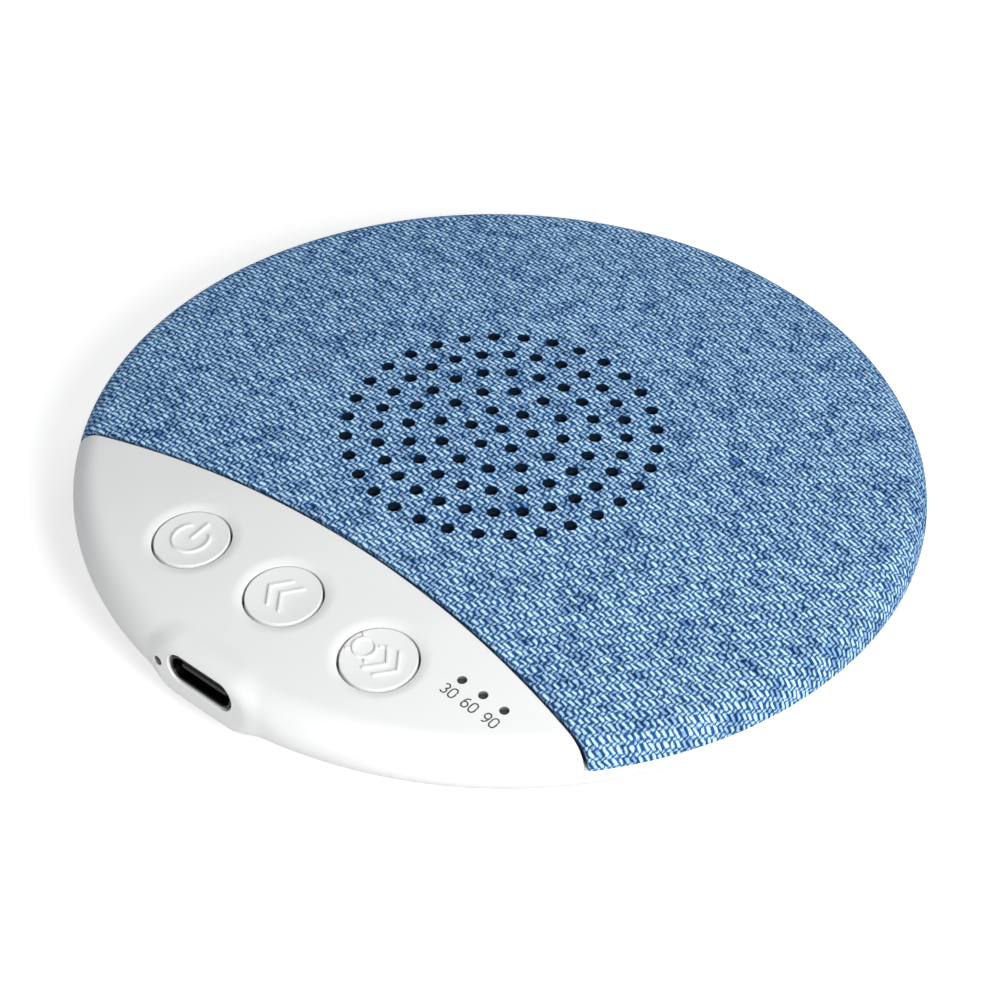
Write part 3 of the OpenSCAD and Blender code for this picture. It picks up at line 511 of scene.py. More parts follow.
class Skin:
    """Points, normals, faces and flat places of a surface whose borders are carried inwards."""

    def __init__(self, points, normals, faces, flat):
        self.points, self.normals, self.flat = [points], [normals], [flat]
        self.dark = [np.zeros(len(points))]
        self.faces = faces.tolist()
        self.count = len(points)

    def join(self, before, points, normals, flat=None, dark=0.0):
        """Adds a ring of points and the faces that join it to the ring before."""
        now = self.count + np.arange(len(points))
        self.points.append(points)
        self.normals.append(normals)
        self.flat.append(flat)
        self.dark.append(np.full(len(points), dark))
        self.count += len(points)
        self.faces += np.column_stack([np.roll(before, -1), before, now, np.roll(now, -1)]).tolist()
        return now

    def sweep(self, loop, path, down=None, dark=None):
        """Carries a border on along (out, down, tilt) steps, out away from the surface. Where a depth is
        given, the wall gets painted shade that grows with depth and is full from that depth on."""
        top, normals, plan = self.points[0], self.normals[0], self.flat[0]
        along = np.roll(top[loop], -1, 0) - np.roll(top[loop], 1, 0)
        up = normals[loop] if down is None else np.broadcast_to(-np.array(down, float), (len(loop), 3))
        out = unit(np.cross(along, up))
        ahead = np.roll(plan[loop], -1, 0) - np.roll(plan[loop], 1, 0)
        aside = np.column_stack([ahead[:, 1], -ahead[:, 0]]) / lengths(ahead)[:, None]
        before, run, last = loop, 0.0, (0.0, 0.0)
        for away, deep, tilt in path:
            run += math.dist(last, (away, deep))
            last = (away, deep)
            ring = top[loop] + away * out - deep * up
            normal = math.sin(tilt) * out + math.cos(tilt) * up
            shade = 0.0 if dark is None else min(deep / dark, 1.0)
            before = self.join(before, ring, normal, plan[loop] + run * aside, shade)

    def turn(self, before, steps, way, middle=(0.0, 0.0)):
        """Carries a ring on along (radius, height, tilt) steps about an upright axis, with a way out
        for each of its points."""
        for radius, z, tilt in steps:
            plan = way * np.broadcast_to(radius, len(way))[:, None] + middle
            lean = np.column_stack([way * math.sin(tilt), np.full(len(way), math.cos(tilt))])
            before = self.join(before, np.column_stack([plan, np.full(len(way), z)]), lean)
        return before

    def piece(self, name, **more):
        return mesh_object(name, np.vstack(self.points), self.faces, np.vstack(self.normals), **more)


def turned_edge(radius, depth, steps=4):
    """Steps of a rounded edge that ends in a wall."""
    bends = [k * math.pi / 2 / steps for k in range(1, steps + 1)]
    path = [(radius * math.sin(t), radius * (1 - math.cos(t)), t) for t in bends]
    return path + [(radius, radius + depth, math.pi / 2)]


def hole_places():
    """The grille holes: rings about the axis at one pitch, each with a hole straight behind the axis."""
    for k, count in enumerate(ring_counts):
        for i in range(count):
            turn = math.pi / 2 + i * 2 * math.pi / count
            yield k * hole_pitch * math.cos(turn), k * hole_pitch * math.sin(turn)


def in_field(flat, radius, low_s):
    """Which places lie on the cloth's side of the seam and above its lower edge."""
    points = lift(flat)[0]
    return (np.hypot(points[:, 0], points[:, 1] - seam_cy) > radius) & (lengths(flat) < low_s)


def beyond(points, x, y, radius):
    """Which points lie farther than a radius in plan from a place."""
    return np.hypot(points[:, 0] - x, points[:, 1] - y) > radius


def fabric_cover():
    step = 0.36
    margin = 0.5 * step
    edge_gap = 0.62 * step
    border_r = seam_r + seam_gap / 2 + hem_turn
    low_s = length_at(skirt_z) - hem_turn
    places = list(hole_places())
    loops = [field_border(border_r, low_s, step)]
    loops += [circle(x, y, hole_r + cloth_turn, hole_steps) for x, y in places]
    rings = [circle(x, y, hole_r + more, n) for x, y in places for more, n in ((0.32, 24), (0.6, 20))]
    grid = hexagons(step, low_s)
    grid = grid[lengths(grid) < low_s - margin]
    grid = grid[in_field(grid, border_r + margin, low_s)]
    free = np.vstack(rings + [clear_of(grid, np.vstack(loops + rings), edge_gap)])

    def inside(flat):
        points = lift(flat)[0]
        keep = in_field(flat, border_r, low_s)
        for x, y in places:
            keep &= beyond(points, x, y, hole_r + cloth_turn)
        return keep

    flat, faces, at = triangulate(loops, free, inside)
    skin = Skin(*lift(flat), faces, flat)
    # The hem turned down into the seam and the walls of the holes get painted shade
    skin.sweep(at[0], turned_edge(hem_turn, hem_depth), dark=hem_shade_depth)
    for loop in at[1:]:
        skin.sweep(loop, turned_edge(cloth_turn, cloth_t, 3), down=(0, 0, -1), dark=hole_shade_depth)
    uv = np.vstack(skin.flat) / uv_span + 0.5
    cloth = skin.piece("fabric", uv=uv, dark=np.concatenate(skin.dark), slot="fabric_blue")
    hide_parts("fabric_cover")
    return cloth


# The twill: floats of the light weft lie along x in rows, each row up shifted to the right. A light
# warp thread shows as a short dot in each gap between two floats, tied faintly to their rows.
float_period = 1.523
row_pitch = 0.585
row_shift = 0.425
float_half = 0.29
float_w = 0.172
float_lean = 0.1
thread_half = 0.07
thread_reach = 0.2
dot_half = 0.08
dot_w = 0.15
ground_blue = (0.003, 0.028, 0.10)
deep_blue = (0.016, 0.085, 0.25)
dull_blue = (0.09, 0.24, 0.58)
float_blue = (0.60, 0.86, 1.0)
thread_blue = (0.45, 0.69, 0.96)
# Painted shade: the near-black the cloth takes down the hole walls and in the seam
hole_shade_blue = (0.004, 0.010, 0.024)
edge_out = 0.08
edge_in = 0.12


def twill():
    """Distance to the middle of the nearest float, a line with round ends, gives the float's mask.
    The distance across the gap's middle gives the thread's, whose ends reach into both rows."""
    material = new_material("twill_blue", ground_blue, 0.75)
    at = material.node_tree.nodes.new("ShaderNodeUVMap")
    at.uv_map = "cloth"
    x, y = (scaled(value, uv_span, -uv_span / 2) for value in parts_of(at.outputs["UV"])[:2])
    y = scaled(cloudy(material, 0.9), 0.5, y)
    x = scaled(cloudy(material, 0.7), 0.8, x)
    rows = over(y, row_pitch)
    row = whole(rows)
    up = times(minus(minus(rows, row), 0.5), row_pitch)
    run = over(minus(x, times(row, row_shift)), float_period)
    column = whole(run)
    along = times(minus(minus(run, column), 0.5), float_period)

    # Chances for the float's shade, the weft's over some floats and the warp's, then for the
    # float's length and place
    weft_cell = (whole(times(run, 0.3)), row)
    warp_cell = (whole(times(x, 1.4)), whole(times(y, 0.25)))
    cells = [(column, row), weft_cell, warp_cell, (column, row), (column, row)]
    chances = [chance_of(*cell, 3.7 * k) for k, cell in enumerate(cells)]
    half = scaled(chances[3], 0.16, float_half - 0.08)
    past = larger(minus(size_of(along), half), 0.0)
    lifted = plus(scaled(along, float_lean, up), scaled(chances[4], 0.14, -0.07))
    weft = eased(reach(past, lifted), float_w + edge_out, float_w - edge_in)
    gap = minus(float_period / 2, size_of(along))
    tall = larger(minus(size_of(up), dot_half), 0.0)
    warp = eased(reach(gap, tall), dot_w + edge_out, dot_w - edge_in)
    for side in (-1, 1):
        off = minus(times(along, -side), float_period / 2 - row_shift)
        near = eased(size_of(off), thread_half + 0.08, thread_half - 0.07, 0.0, 0.55)
        start = row_pitch / 2 - thread_reach
        ends = eased(times(up, side), start - 0.04, start + 0.08)
        warp = larger(warp, times(near, ends))

    fibres = cloudy(material, 0.12, 3.0, (3.0, 1.0, 1.0))
    shade = scaled(chances[0], 0.55, 0.22)
    shade = scaled(chances[1], 0.22, shade)
    shade = scaled(chances[2], 0.22, shade)
    shade = scaled(cloudy(material, 2.2), 1.0, plus(shade, -0.5))
    shade = scaled(fibres, 0.6, plus(shade, -0.3))
    ground = mixed(eased(shade, 0.3, 1.0), ground_blue, deep_blue)
    yarn = mixed(eased(shade, 0.05, 0.95), dull_blue, float_blue)
    other = scaled(minus(chances[3], chances[0]), 0.4, shade)
    color = mixed(times(warp, eased(other, 0.0, 0.9, 0.2, 1.0)), ground, thread_blue)
    color = mixed(weft, color, yarn)
    # Painted shade: the cloth goes near-black down the walls of the holes and where the hem turns into the
    # seam
    put(material, "Base Color", mixed(painted_shade(material), color, hole_shade_blue))
    put(material, "Specular IOR Level", 0.06)
    put(material, "Sheen Weight", 0.16)
    put(material, "Sheen Roughness", 0.5)
    put(material, "Sheen Tint", (0.0, 0.32, 1.0))
    height = larger(weft, times(warp, 0.6))
    raised(material, plus(height, times(fibres, 0.25)), 0.06)
    return material


fabric = fabric_cover()
twill_blue = twill()
fabric.data.materials.append(twill_blue)


# Housing
# One white ABS moulding: the side wall all round, the lower rim and the control deck in front of the
# seam. The deck dips a little round each button, and the rim swells softly into the nose that
# carries the charging inlet. Its inner bosses and ribs are those of the solids.
port_low, port_high = (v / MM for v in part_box("port_shell"))
port_z = (port_low.z + port_high.z) / 2
port_w = port_high.x - port_low.x
port_h = port_high.z - port_low.z
face_y = -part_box("housing")[0].y / MM
port_gap = 0.2
nose_w = 13.6
nose_low = port_z - 3.95
nose_high = port_z + 1.9
nose_out = 2.6
nose_in = 3.0
nose_round = 1.2
nose_blend = 2.2
face_blend = 0.9
button_r = 4.1
button_gap = 0.26
button_steps = 96
dish_w = 1.3
dish_depth = 0.3
led_l = 1.6
light_d = 1.0
light_turn = 0.1
mic_x = -6.2
mic_z = port_z - 0.75
mic_d = 1.1
mic_turn = 0.08
small_steps = 28
# Depth from which the painted shade on the walls of the light holes and the microphone's hole is full
inner_shade_depth = 0.12
seam_turn = 0.28
rim_turn = 0.12
well_turn = 0.06
skirt_gap = 0.05
base_turn = 0.15
seam_depth = 1.5
well_depth = 1.4
light_depth = 1.9
port_depth = 1.2
mic_depth = 2.4
base_depth = 1.4


def middle_of(node):
    low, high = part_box(node)
    return (low + high) / 2 / MM


buttons = {name: middle_of(name) for name in ("power_button", "back_button", "forward_button")}
light_low, light_high = (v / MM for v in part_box("timer_leds"))
light_x, light_y = (light_low.x + light_high.x) / 2, (light_low.y + light_high.y) / 2
lights = [(light_x + k * (light_high.x - light_low.x - led_l) / 2, light_y) for k in (-1, 0, 1)]


def body_distance(points):
    """Distance of points outside the body's outline, less than zero inside."""
    away = np.zeros(len(points))
    for here, _, out in over_arcs(points):
        away[here] = out[here]
    return away


def smooth_min(a, b, width):
    """The lesser of two distances, with a soft change from one to the other."""
    near = np.maximum(width - np.abs(a - b), 0) / width
    return np.minimum(a, b) - near * near * width / 4


def nose_distance(points):
    """Distance of points outside the body with its nose: a slot-shaped block that is blended into
    the outline and cut by the flat face of the inlet."""
    x, y, z = points.T
    nose_h = nose_high - nose_low
    side = np.maximum(np.abs(x) - (nose_w - nose_h) / 2, 0)
    slot = np.hypot(side, z - (nose_low + nose_high) / 2) - nose_h / 2
    middle = -face_y + (nose_in - nose_out) / 2
    deep = np.abs(y - middle) - (nose_in + nose_out) / 2
    a, b = slot + nose_round, deep + nose_round
    block = np.minimum(np.maximum(a, b), 0) + np.hypot(np.maximum(a, 0), np.maximum(b, 0)) - nose_round
    joined = smooth_min(body_distance(points), block, nose_blend)
    return -smooth_min(-joined, y + face_y, face_blend)


def dress(flat):
    """Points of the housing's skin over the unrolled disc: the outline, moved along its normals to
    the nose, and the dishes round the buttons."""
    points, normals = lift(flat)
    zone = (np.abs(points[:, 0]) < 16) & (points[:, 1] < -36)
    start, way = points[zone], normals[zone]
    low, high = np.full(len(start), -2.5), np.full(len(start), 3.5)
    for _ in range(26):
        mid = (low + high) / 2
        outside = nose_distance(start + way * mid[:, None]) > 0
        high = np.where(outside, mid, high)
        low = np.where(outside, low, mid)
    points[zone] = start + way * ((low + high) / 2)[:, None]
    for place in buttons.values():
        d = np.hypot(points[:, 0] - place.x, points[:, 1] - place.y)
        dip = np.clip((button_r + button_gap + dish_w - d) / dish_w, 0, 1) ** 2
        points[:, 2] -= dish_depth * dip * (points[:, 2] > widest_z)
    return points


def dressed(flat):
    """The skin's points and the normals of the skin itself, from small steps to the side."""
    nudge = 0.004
    east = dress(flat + [nudge, 0]) - dress(flat - [nudge, 0])
    north = dress(flat + [0, nudge]) - dress(flat - [0, nudge])
    return dress(flat), unit(np.cross(east, north))


def obround(width, height, count):
    """Points of a slot with round ends, clockwise as seen from the front, as x and z."""
    half = (width - height) / 2
    turn = np.linspace(0, math.pi, count // 4 + 1)
    right = np.column_stack([half + height / 2 * np.sin(turn), height / 2 * np.cos(turn)])
    line = np.linspace(half, -half, count // 4 + 1)[1:-1]
    below = np.column_stack([line, np.full_like(line, -height / 2)])
    return np.vstack([right, below, -right, -below])


def inner_structure():
    """The faces of the solid housing that lie deeper than its skin: inner walls, bosses and ribs."""
    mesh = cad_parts["housing"].data
    points = np.array([tuple(v.co) for v in mesh.vertices]) / MM
    faces = np.array([tuple(p.vertices) for p in mesh.polygons])
    deep = nose_distance(points) < -1.0
    return only_used(points, faces[deep[faces].all(axis=1)])[:2]


def in_polygon(points, border):
    """Which points lie inside a closed border, by counting its crossings."""
    x, y = points[:, 0][:, None], points[:, 1][:, None]
    a, b = border, np.roll(border, -1, 0)
    spans = (a[:, 1] > y) != (b[:, 1] > y)
    slope = np.where(b[:, 1] == a[:, 1], 1e-12, b[:, 1] - a[:, 1])
    crossing = a[:, 0] + (y - a[:, 1]) / slope * (b[:, 0] - a[:, 0])
    return ((spans & (x < crossing)).sum(axis=1) % 2) == 1


def on_face(x, z):
    """Places on the inlet's flat face, unrolled."""
    return unroll(np.column_stack([x, np.full(len(x), -face_y), z]))


def near_inlet(flat):
    """Which places lie round the nose, where the grid is finer."""
    points = lift(flat)[0]
    return (np.abs(points[:, 0]) < 15) & (points[:, 1] < -38.5)


def housing():
    step, fine = 0.55, 0.26
    field_r = seam_r - seam_gap / 2 - seam_turn
    field_s = length_at(skirt_z - skirt_gap) + rim_turn
    end_s = length_at(base_z)
    well_r = button_r + button_gap + well_turn
    light_r = light_d / 2 + light_turn
    loops = [field_border(field_r, field_s, 0.4)[::-1], end_s * ways(turns(720))]
    loops += [circle(p.x, p.y, well_r, button_steps) for p in buttons.values()]
    loops += [circle(x, y, light_r, small_steps) for x, y in lights]
    port_edge = 2 * (port_gap + rim_turn)
    slot = obround(port_w + port_edge, port_h + port_edge, 96)
    mic = (mic_d / 2 + mic_turn) * ways(-turns(small_steps)) + [mic_x, mic_z]
    openings = [on_face(slot[:, 0], port_z + slot[:, 1]), on_face(*mic.T)]
    loops += openings
    dish_rings = [well_r + k * 0.3 for k in range(1, 8)]
    rings = [circle(p.x, p.y, r, button_steps) for p in buttons.values() for r in dish_rings]
    rings += [circle(x, y, light_d / 2 + 0.35, small_steps) for x, y in lights]
    near = np.vstack(loops + rings)
    coarse = hexagons(step, end_s)
    small = hexagons(fine, 18, (0, -50))
    coarse = clear_of(coarse[~near_inlet(coarse)], near, 0.6 * step)
    grid = np.vstack([coarse, clear_of(small[near_inlet(small)], near, 0.7 * fine)])
    free = np.vstack(rings + [grid[(lengths(grid) < end_s - 0.3) & ~in_field(grid, field_r, field_s)]])

    def inside(flat):
        points = lift(flat)[0]
        keep = ~in_field(flat, field_r, field_s)
        below = points[:, 2] < widest_z
        for p in buttons.values():
            keep &= below | beyond(points, p.x, p.y, well_r)
        for x, y in lights:
            keep &= below | beyond(points, x, y, light_r)
        for border in openings:
            keep &= ~in_polygon(flat, border)
        return keep

    flat, faces, at = triangulate(loops, free, inside)
    points, normals = dressed(flat)
    skin = Skin(points, normals, faces, flat)
    down, back = (0, 0, -1), (0, 1, 0)
    skin.sweep(at[0], turned_edge(seam_turn, seam_depth))
    for loop in at[2:5]:
        skin.sweep(loop, turned_edge(well_turn, well_depth), down)
    # The walls of the light holes and the microphone's hole get painted shade
    for loop in at[5:8]:
        skin.sweep(loop, turned_edge(light_turn, light_depth, 3), down, inner_shade_depth)
    skin.sweep(at[8], turned_edge(rim_turn, port_depth), back)
    skin.sweep(at[9], turned_edge(mic_turn, mic_depth, 3), back, inner_shade_depth)
    rim = points[at[1]][:, :2]
    inwards = 1.5 * math.pi
    steps = [(under_cx + base_turn, base_z, math.pi), (under_cx, base_z + base_turn, inwards)]
    skin.turn(at[1], steps + [(under_cx, base_z + base_depth, inwards)], rim / lengths(rim)[:, None])
    shell = skin.piece("housing_shell", dark=np.concatenate(skin.dark), slot="white_plastic")
    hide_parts("housing")
    return shell, mesh_object("housing_ribs", *inner_structure(), slot="white_plastic", smooth=False)


shell, ribs = housing()


def moulded_white(name, color, roughness=0.42):
    """Satin ABS with a fine mould grain and a little unevenness in its gloss. Down the walls of openings it
    is painted nearly black, as painted shade.
    """
    material = new_material(name, color, roughness)
    grain = cloudy(material, 0.16, 3.0)
    tint = tuple(c * 0.97 for c in color)
    color = mixed(eased(cloudy(material, 14.0), 0.3, 0.7), color, tint)
    # Painted shade: nearly black down the walls of openings, by the mesh's depth attribute
    put(material, "Base Color", mixed(painted_shade(material), color, (0.03, 0.03, 0.03)))
    put(material, "Roughness", plus(roughness - 0.06, times(cloudy(material, 6.0), 0.12)))
    put(material, "IOR", 1.53)
    raised(material, grain, 0.006)
    return material


white_abs = moulded_white("abs_white", (0.83, 0.83, 0.82))
for piece in (shell, ribs):
    piece.data.materials.append(white_abs)


# Button caps
# Three moulded caps with a shallow finger hollow and raised marks: power, back, and forward with a
# lamp sign. A flange under the deck keeps each in, and a stem stands on the plunger of its switch.
cap_drop = 0.12
cap_turn = 0.12
hollow_r = 42.0
hollow_depth = 0.2
mark_half = 0.1
mark_turn = 0.08
mark_h = 0.27
flange_r = button_r + 0.8
flange_z = top_z - 5.0
flange_t = 0.7
flange_turn = 0.06
stem_r = 1.5
plunger_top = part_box("power_plunger")[1].z / MM


def arc_line(x, y, radius, start, end, count=40):
    """Points of an arc between two angles in degrees."""
    return radius * ways(np.radians(np.linspace(start, end, count))) + [x, y]


def chevron(x, side):
    """An arrow head with its tip at x that opens to one side."""
    return np.array([(x + side * 1.55, 2.0), (x, 0.05), (x + side * 1.55, -1.9)])


sun_x, sun_y, sun_r = -2.1, 0.1, 1.22
rays = [
    [(sun_x + r * math.cos(turn), sun_y + r * math.sin(turn)) for r in (1.62, 1.9)]
    for turn in np.radians([45, 135, 225, 315])
]
marks = {
    "power_button": [arc_line(-0.1, 0, 2.02, 132, 407), [(-0.1, 0.1), (-0.1, 2.6)]],
    "back_button": [chevron(-2.05, 1), chevron(-0.4, 1)],
    "forward_button": [chevron(1.15, -1), chevron(2.65, -1), arc_line(sun_x, sun_y, sun_r, 0, 360)] + rays,
}
marks["forward_button"][0][0] = (-0.32, 1.72)


def distance_to(lines, x, y):
    """Distance of places in plan to the nearest of some broken lines."""
    best = np.full(x.shape, 1e9)
    for line in lines:
        line = np.asarray(line)
        for (ax, ay), (bx, by) in zip(line[:-1], line[1:]):
            ux, uy = bx - ax, by - ay
            t = np.clip(((x - ax) * ux + (y - ay) * uy) / (ux * ux + uy * uy), 0, 1)
            best = np.minimum(best, np.hypot(x - ax - t * ux, y - ay - t * uy))
    return best


def cap_height(name, x, y):
    """Height of a cap's top: the dome, lowered by a part of a sphere, plus the rounded marks."""
    place = buttons[name]
    hollow = hollow_depth - (x * x + y * y) / (2 * hollow_r)
    rise = np.clip((mark_half + mark_turn - distance_to(marks[name], x, y)) / mark_turn, 0, 1)
    rise = rise * rise * (3 - 2 * rise)
    return top_height(place.x + x, place.y + y) - cap_drop - np.maximum(hollow, 0) + mark_h * rise


def cap_steps(ways_out):
    """The cap's side below its edge: the flange, cut flat in front and behind, then the stem."""
    clip = np.minimum(flange_r, button_r / np.maximum(np.abs(ways_out[:, 1]), 1e-9))
    under_z, t = flange_z - flange_t, flange_turn
    out, up, down = math.pi / 2, 0.0, math.pi
    return [
        (button_r, flange_z + t, out), (np.minimum(button_r + t, clip), flange_z, up),
        (clip - t, flange_z, up), (clip, flange_z - t, out), (clip, under_z + t, out),
        (clip - t, under_z, down), (stem_r, under_z, down), (stem_r - 0.03, under_z - 0.03, out),
        (stem_r - 0.03, plunger_top + 0.03, out), (stem_r - 0.08, plunger_top, down),
        (0.3, plunger_top, down),
    ]


def button_cap(name):
    place = buttons[name]
    inner_r = button_r - cap_turn
    mark_r = mark_half + mark_turn
    fine_step, coarse_step = 0.055, 0.22
    fine, coarse = hexagons(fine_step, inner_r), hexagons(coarse_step, inner_r)
    close = distance_to(marks[name], *fine.T) < mark_r + 0.06
    fine = fine[close & (lengths(fine) < inner_r - 0.04)]
    away = distance_to(marks[name], *coarse.T) > mark_r + 0.12
    coarse = coarse[away & (lengths(coarse) < inner_r - 0.12)]
    free = np.vstack([fine, coarse])
    flat, faces, at = triangulate([inner_r * ways(turns(120))], free, lambda c: lengths(c) < inner_r)
    x, y = flat.T
    nudge = 0.01
    east = (cap_height(name, x + nudge, y) - cap_height(name, x - nudge, y)) / (2 * nudge)
    north = (cap_height(name, x, y + nudge) - cap_height(name, x, y - nudge)) / (2 * nudge)
    normals = np.column_stack([-east, -north, np.ones_like(x)])
    points = np.column_stack([x + place.x, y + place.y, cap_height(name, x, y)])
    skin = Skin(points, unit(normals), faces, flat)
    skin.sweep(at[0], turned_edge(cap_turn, 0.9), down=(0, 0, -1))
    middle = (place.x, place.y)
    way = (skin.points[-1][:, :2] - middle) / button_r
    edge = skin.count - len(way) + np.arange(len(way))
    end = skin.turn(edge, cap_steps(way), way, middle)
    skin.faces.append(end.tolist()[::-1])
    cap = skin.piece(name + "_cap", slot="cap_plastic", body=name)
    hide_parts(name)
    cap.data.materials.append(white_abs)


for name in buttons:
    button_cap(name)


# Timer numbers
# Thin grey numbers printed on the deck beside the lights, each a flat ribbon of ink that follows the
# deck's surface.
ink_w = 0.17
ink_lift = 0.012
ink_step = 0.06
digit_w = 0.72
digit_h = 1.24
digits_y = -32.32
digit_places = [("3", 21.6), ("0", 22.6), ("6", 24.4), ("0", 25.4), ("9", 27.22), ("0", 28.23)]

def digit_line(digit):
    """One stroke for each digit, one unit high and wide, about its own middle."""
    if digit == "0":
        top, low = arc_line(0, 0.18, 0.5, 0, 180, 12), arc_line(0, -0.18, 0.5, 180, 360, 12)
        line = np.vstack([top * [1, 0.64] + [0, 0.065], low * [1, 0.64] - [0, 0.065]])
        return np.vstack([line, line[:1]])
    if digit == "3":
        high = arc_line(-0.02, 0.25, 0.25, 155, -90, 14) * [1.7, 1]
        return np.vstack([high, arc_line(-0.02, -0.25, 0.25, 90, -155, 14) * [1.9, 1]])
    loop = arc_line(0, -0.2, 0.3, 150, 510, 24) * [1.6, 1]
    tail = np.array([(0.28, 0.46), (0.02, 0.48), (-0.25, 0.36), (-0.42, 0.12)])
    line = np.vstack([tail, loop])
    return line if digit == "6" else -line


def ribbon(line, width):
    """A line in plan given a width: its points moved to both sides along the mean normal."""
    step = np.gradient(line, axis=0)
    side = np.column_stack([-step[:, 1], step[:, 0]])
    side *= width / 2 / np.linalg.norm(side, axis=1)[:, None]
    return np.vstack([line + side, line - side])


def timer_numbers():
    points, faces, start = [], [], 0
    for digit, x in digit_places:
        line = digit_line(digit) * [digit_w, digit_h] + [x, digits_y]
        line = spaced(np.vstack([line, line[-1:] + 1e-6]), ink_step)
        plan = ribbon(line, ink_w)
        n = len(line)
        points.append(np.column_stack([plan, top_height(plan[:, 0], plan[:, 1]) + ink_lift]))
        faces += [(start + k, start + n + k, start + n + k + 1, start + k + 1) for k in range(n - 1)]
        start += 2 * n
    numbers = mesh_object("timer_numbers", np.vstack(points), faces, slot="white_plastic")
    material = new_material("number_ink", (0.10, 0.10, 0.10), 0.6)
    worn = eased(cloudy(material, 0.09, 3.0), 0.35, 0.7)
    put(material, "Base Color", mixed(worn, (0.04, 0.04, 0.042), (0.11, 0.11, 0.11)))
    numbers.data.materials.append(material)


timer_numbers()


# Charging inlet
# A standard slot-shaped socket: a drawn steel shell with a rounded front lip, a black insulator with
# its tongue, and gold contacts pressed into both faces of the tongue.
shell_wall = 0.3
lip_depth = 0.12
port_front = port_low.y
port_back = port_high.y
insulator_t = 2.0
seat_turn = 0.05
tongue_w = 6.7
tongue_t = 0.7
tongue_front = port_front + 0.8 - 0.3
contacts_per_side = 12
contact_pitch = 0.5
contact_w = 0.26
contact_l = 3.4
contact_t = 0.035
contact_sunk = 0.01


def lofted(name, rings, slot, body="case", closed=False):
    """Rings of as many points joined one after the other; closed joins the last to the first, and
    otherwise both ends get a face."""
    n, count = len(rings[0]), len(rings)
    k, i = np.meshgrid(np.arange(count if closed else count - 1), np.arange(n), indexing="ij")
    here, on = k * n, (k + 1) % count * n
    nxt = (i + 1) % n
    faces = np.stack([here + nxt, here + i, on + i, on + nxt], -1).reshape(-1, 4).tolist()
    if not closed:
        faces += [list(range(n)), list(range((count - 1) * n, count * n))[::-1]]
    return mesh_object(name, np.vstack(rings), faces, slot=slot, body=body)


def port_ring(inset, y, width=port_w, height=port_h):
    slot = obround(width - 2 * inset, height - 2 * inset, 96)
    return np.column_stack([slot[:, 0], np.full(len(slot), y), port_z + slot[:, 1]])


def even_normals(piece):
    """Keeps large faces flat beside their rounded edges."""
    piece.modifiers.new("even", "WEIGHTED_NORMAL")
    return piece


def inlet_contacts():
    """Small bars let into both faces of the tongue."""
    points, faces = [], []
    corners = np.array([(x, y, z) for z in (-1, 1) for y in (0, 1) for x in (-1, 1)], float)
    sides = [(0, 1, 5, 4), (1, 3, 7, 5), (3, 2, 6, 7), (2, 0, 4, 6), (4, 5, 7, 6), (0, 2, 3, 1)]
    for face in (1, -1):
        for k in range(contacts_per_side):
            x = (k - (contacts_per_side - 1) / 2) * contact_pitch
            z = port_z + (tongue_t / 2 - contact_sunk) * face
            start = len(points) * len(corners)
            points.append(corners * [contact_w / 2, contact_l, contact_t] + [x, tongue_front + 0.45, z])
            faces += [[start + c for c in side] for side in sides]
    return mesh_object("inlet_contacts", np.vstack(points), faces, slot="can_gold", smooth=False)


def charging_inlet():
    wall = shell_wall / 2
    bends = np.linspace(0, math.pi, 9)
    lip = [(wall - wall * math.cos(t), port_front + lip_depth * (1 - math.sin(t))) for t in bends]
    rings = [port_ring(*step) for step in [(0, port_back)] + lip + [(shell_wall, port_back)]]
    tube = lofted("inlet_shell", rings, "port_steel", closed=True)
    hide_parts("port_shell")
    seat, t = port_back - insulator_t, seat_turn
    wide, high = port_w - 2 * shell_wall, port_h - 2 * shell_wall
    rings = [port_ring(inset, y, wide, high) for inset, y in ((0, port_back), (0, seat + t), (t, seat))]
    tip = [(0, tongue_front + 0.2), (0.06, tongue_front + 0.06), (0.2, tongue_front)]
    rings += [port_ring(inset, y, tongue_w, tongue_t) for inset, y in [(-t, seat), (0, seat - t)] + tip]
    tongue = lofted("inlet_tongue", rings, "tongue_black")
    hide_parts("port_tongue")
    return even_normals(tube), even_normals(tongue), inlet_contacts()


tube, tongue, contacts = charging_inlet()


# Underside
# A flat base cover with four soft rubber feet glued into its recesses, which hide the screws.
foot_r = 4.0
foot_turn = 0.35
foot_edge = 0.1
foot_groove = [(2.7, 0.0), (2.6, 0.08), (2.3, 0.08), (2.2, 0.0), (0.4, 0.0)]
feet_low, feet_high = (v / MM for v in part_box("rubber_feet"))
foot_x = feet_high.x - foot_r
foot_y = feet_high.y - foot_r


def softened(node, width):
    """A copy of a solid's mesh with its loose triangles joined and its edges rounded."""
    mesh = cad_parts[node].data.copy()
    mesh.name = node + "_soft"
    made = bmesh.new()
    made.from_mesh(mesh)
    bmesh.ops.remove_doubles(made, verts=made.verts, dist=2e-6)
    bmesh.ops.dissolve_limit(made, angle_limit=math.radians(1), verts=made.verts, edges=made.edges)
    made.to_mesh(mesh)
    made.free()
    mesh.materials.clear()
    mesh.polygons.foreach_set("use_smooth", np.ones(len(mesh.polygons), bool))
    piece = bpy.data.objects.new(node + "_soft", mesh)
    scene.collection.objects.link(piece)
    turn = piece.modifiers.new("turn", "BEVEL")
    turn.width = width * MM
    turn.segments = 2
    turn.limit_method = "ANGLE"
    turn.angle_limit = math.radians(40)
    even_normals(piece)
    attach(piece, "case")
    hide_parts(node)
    return piece


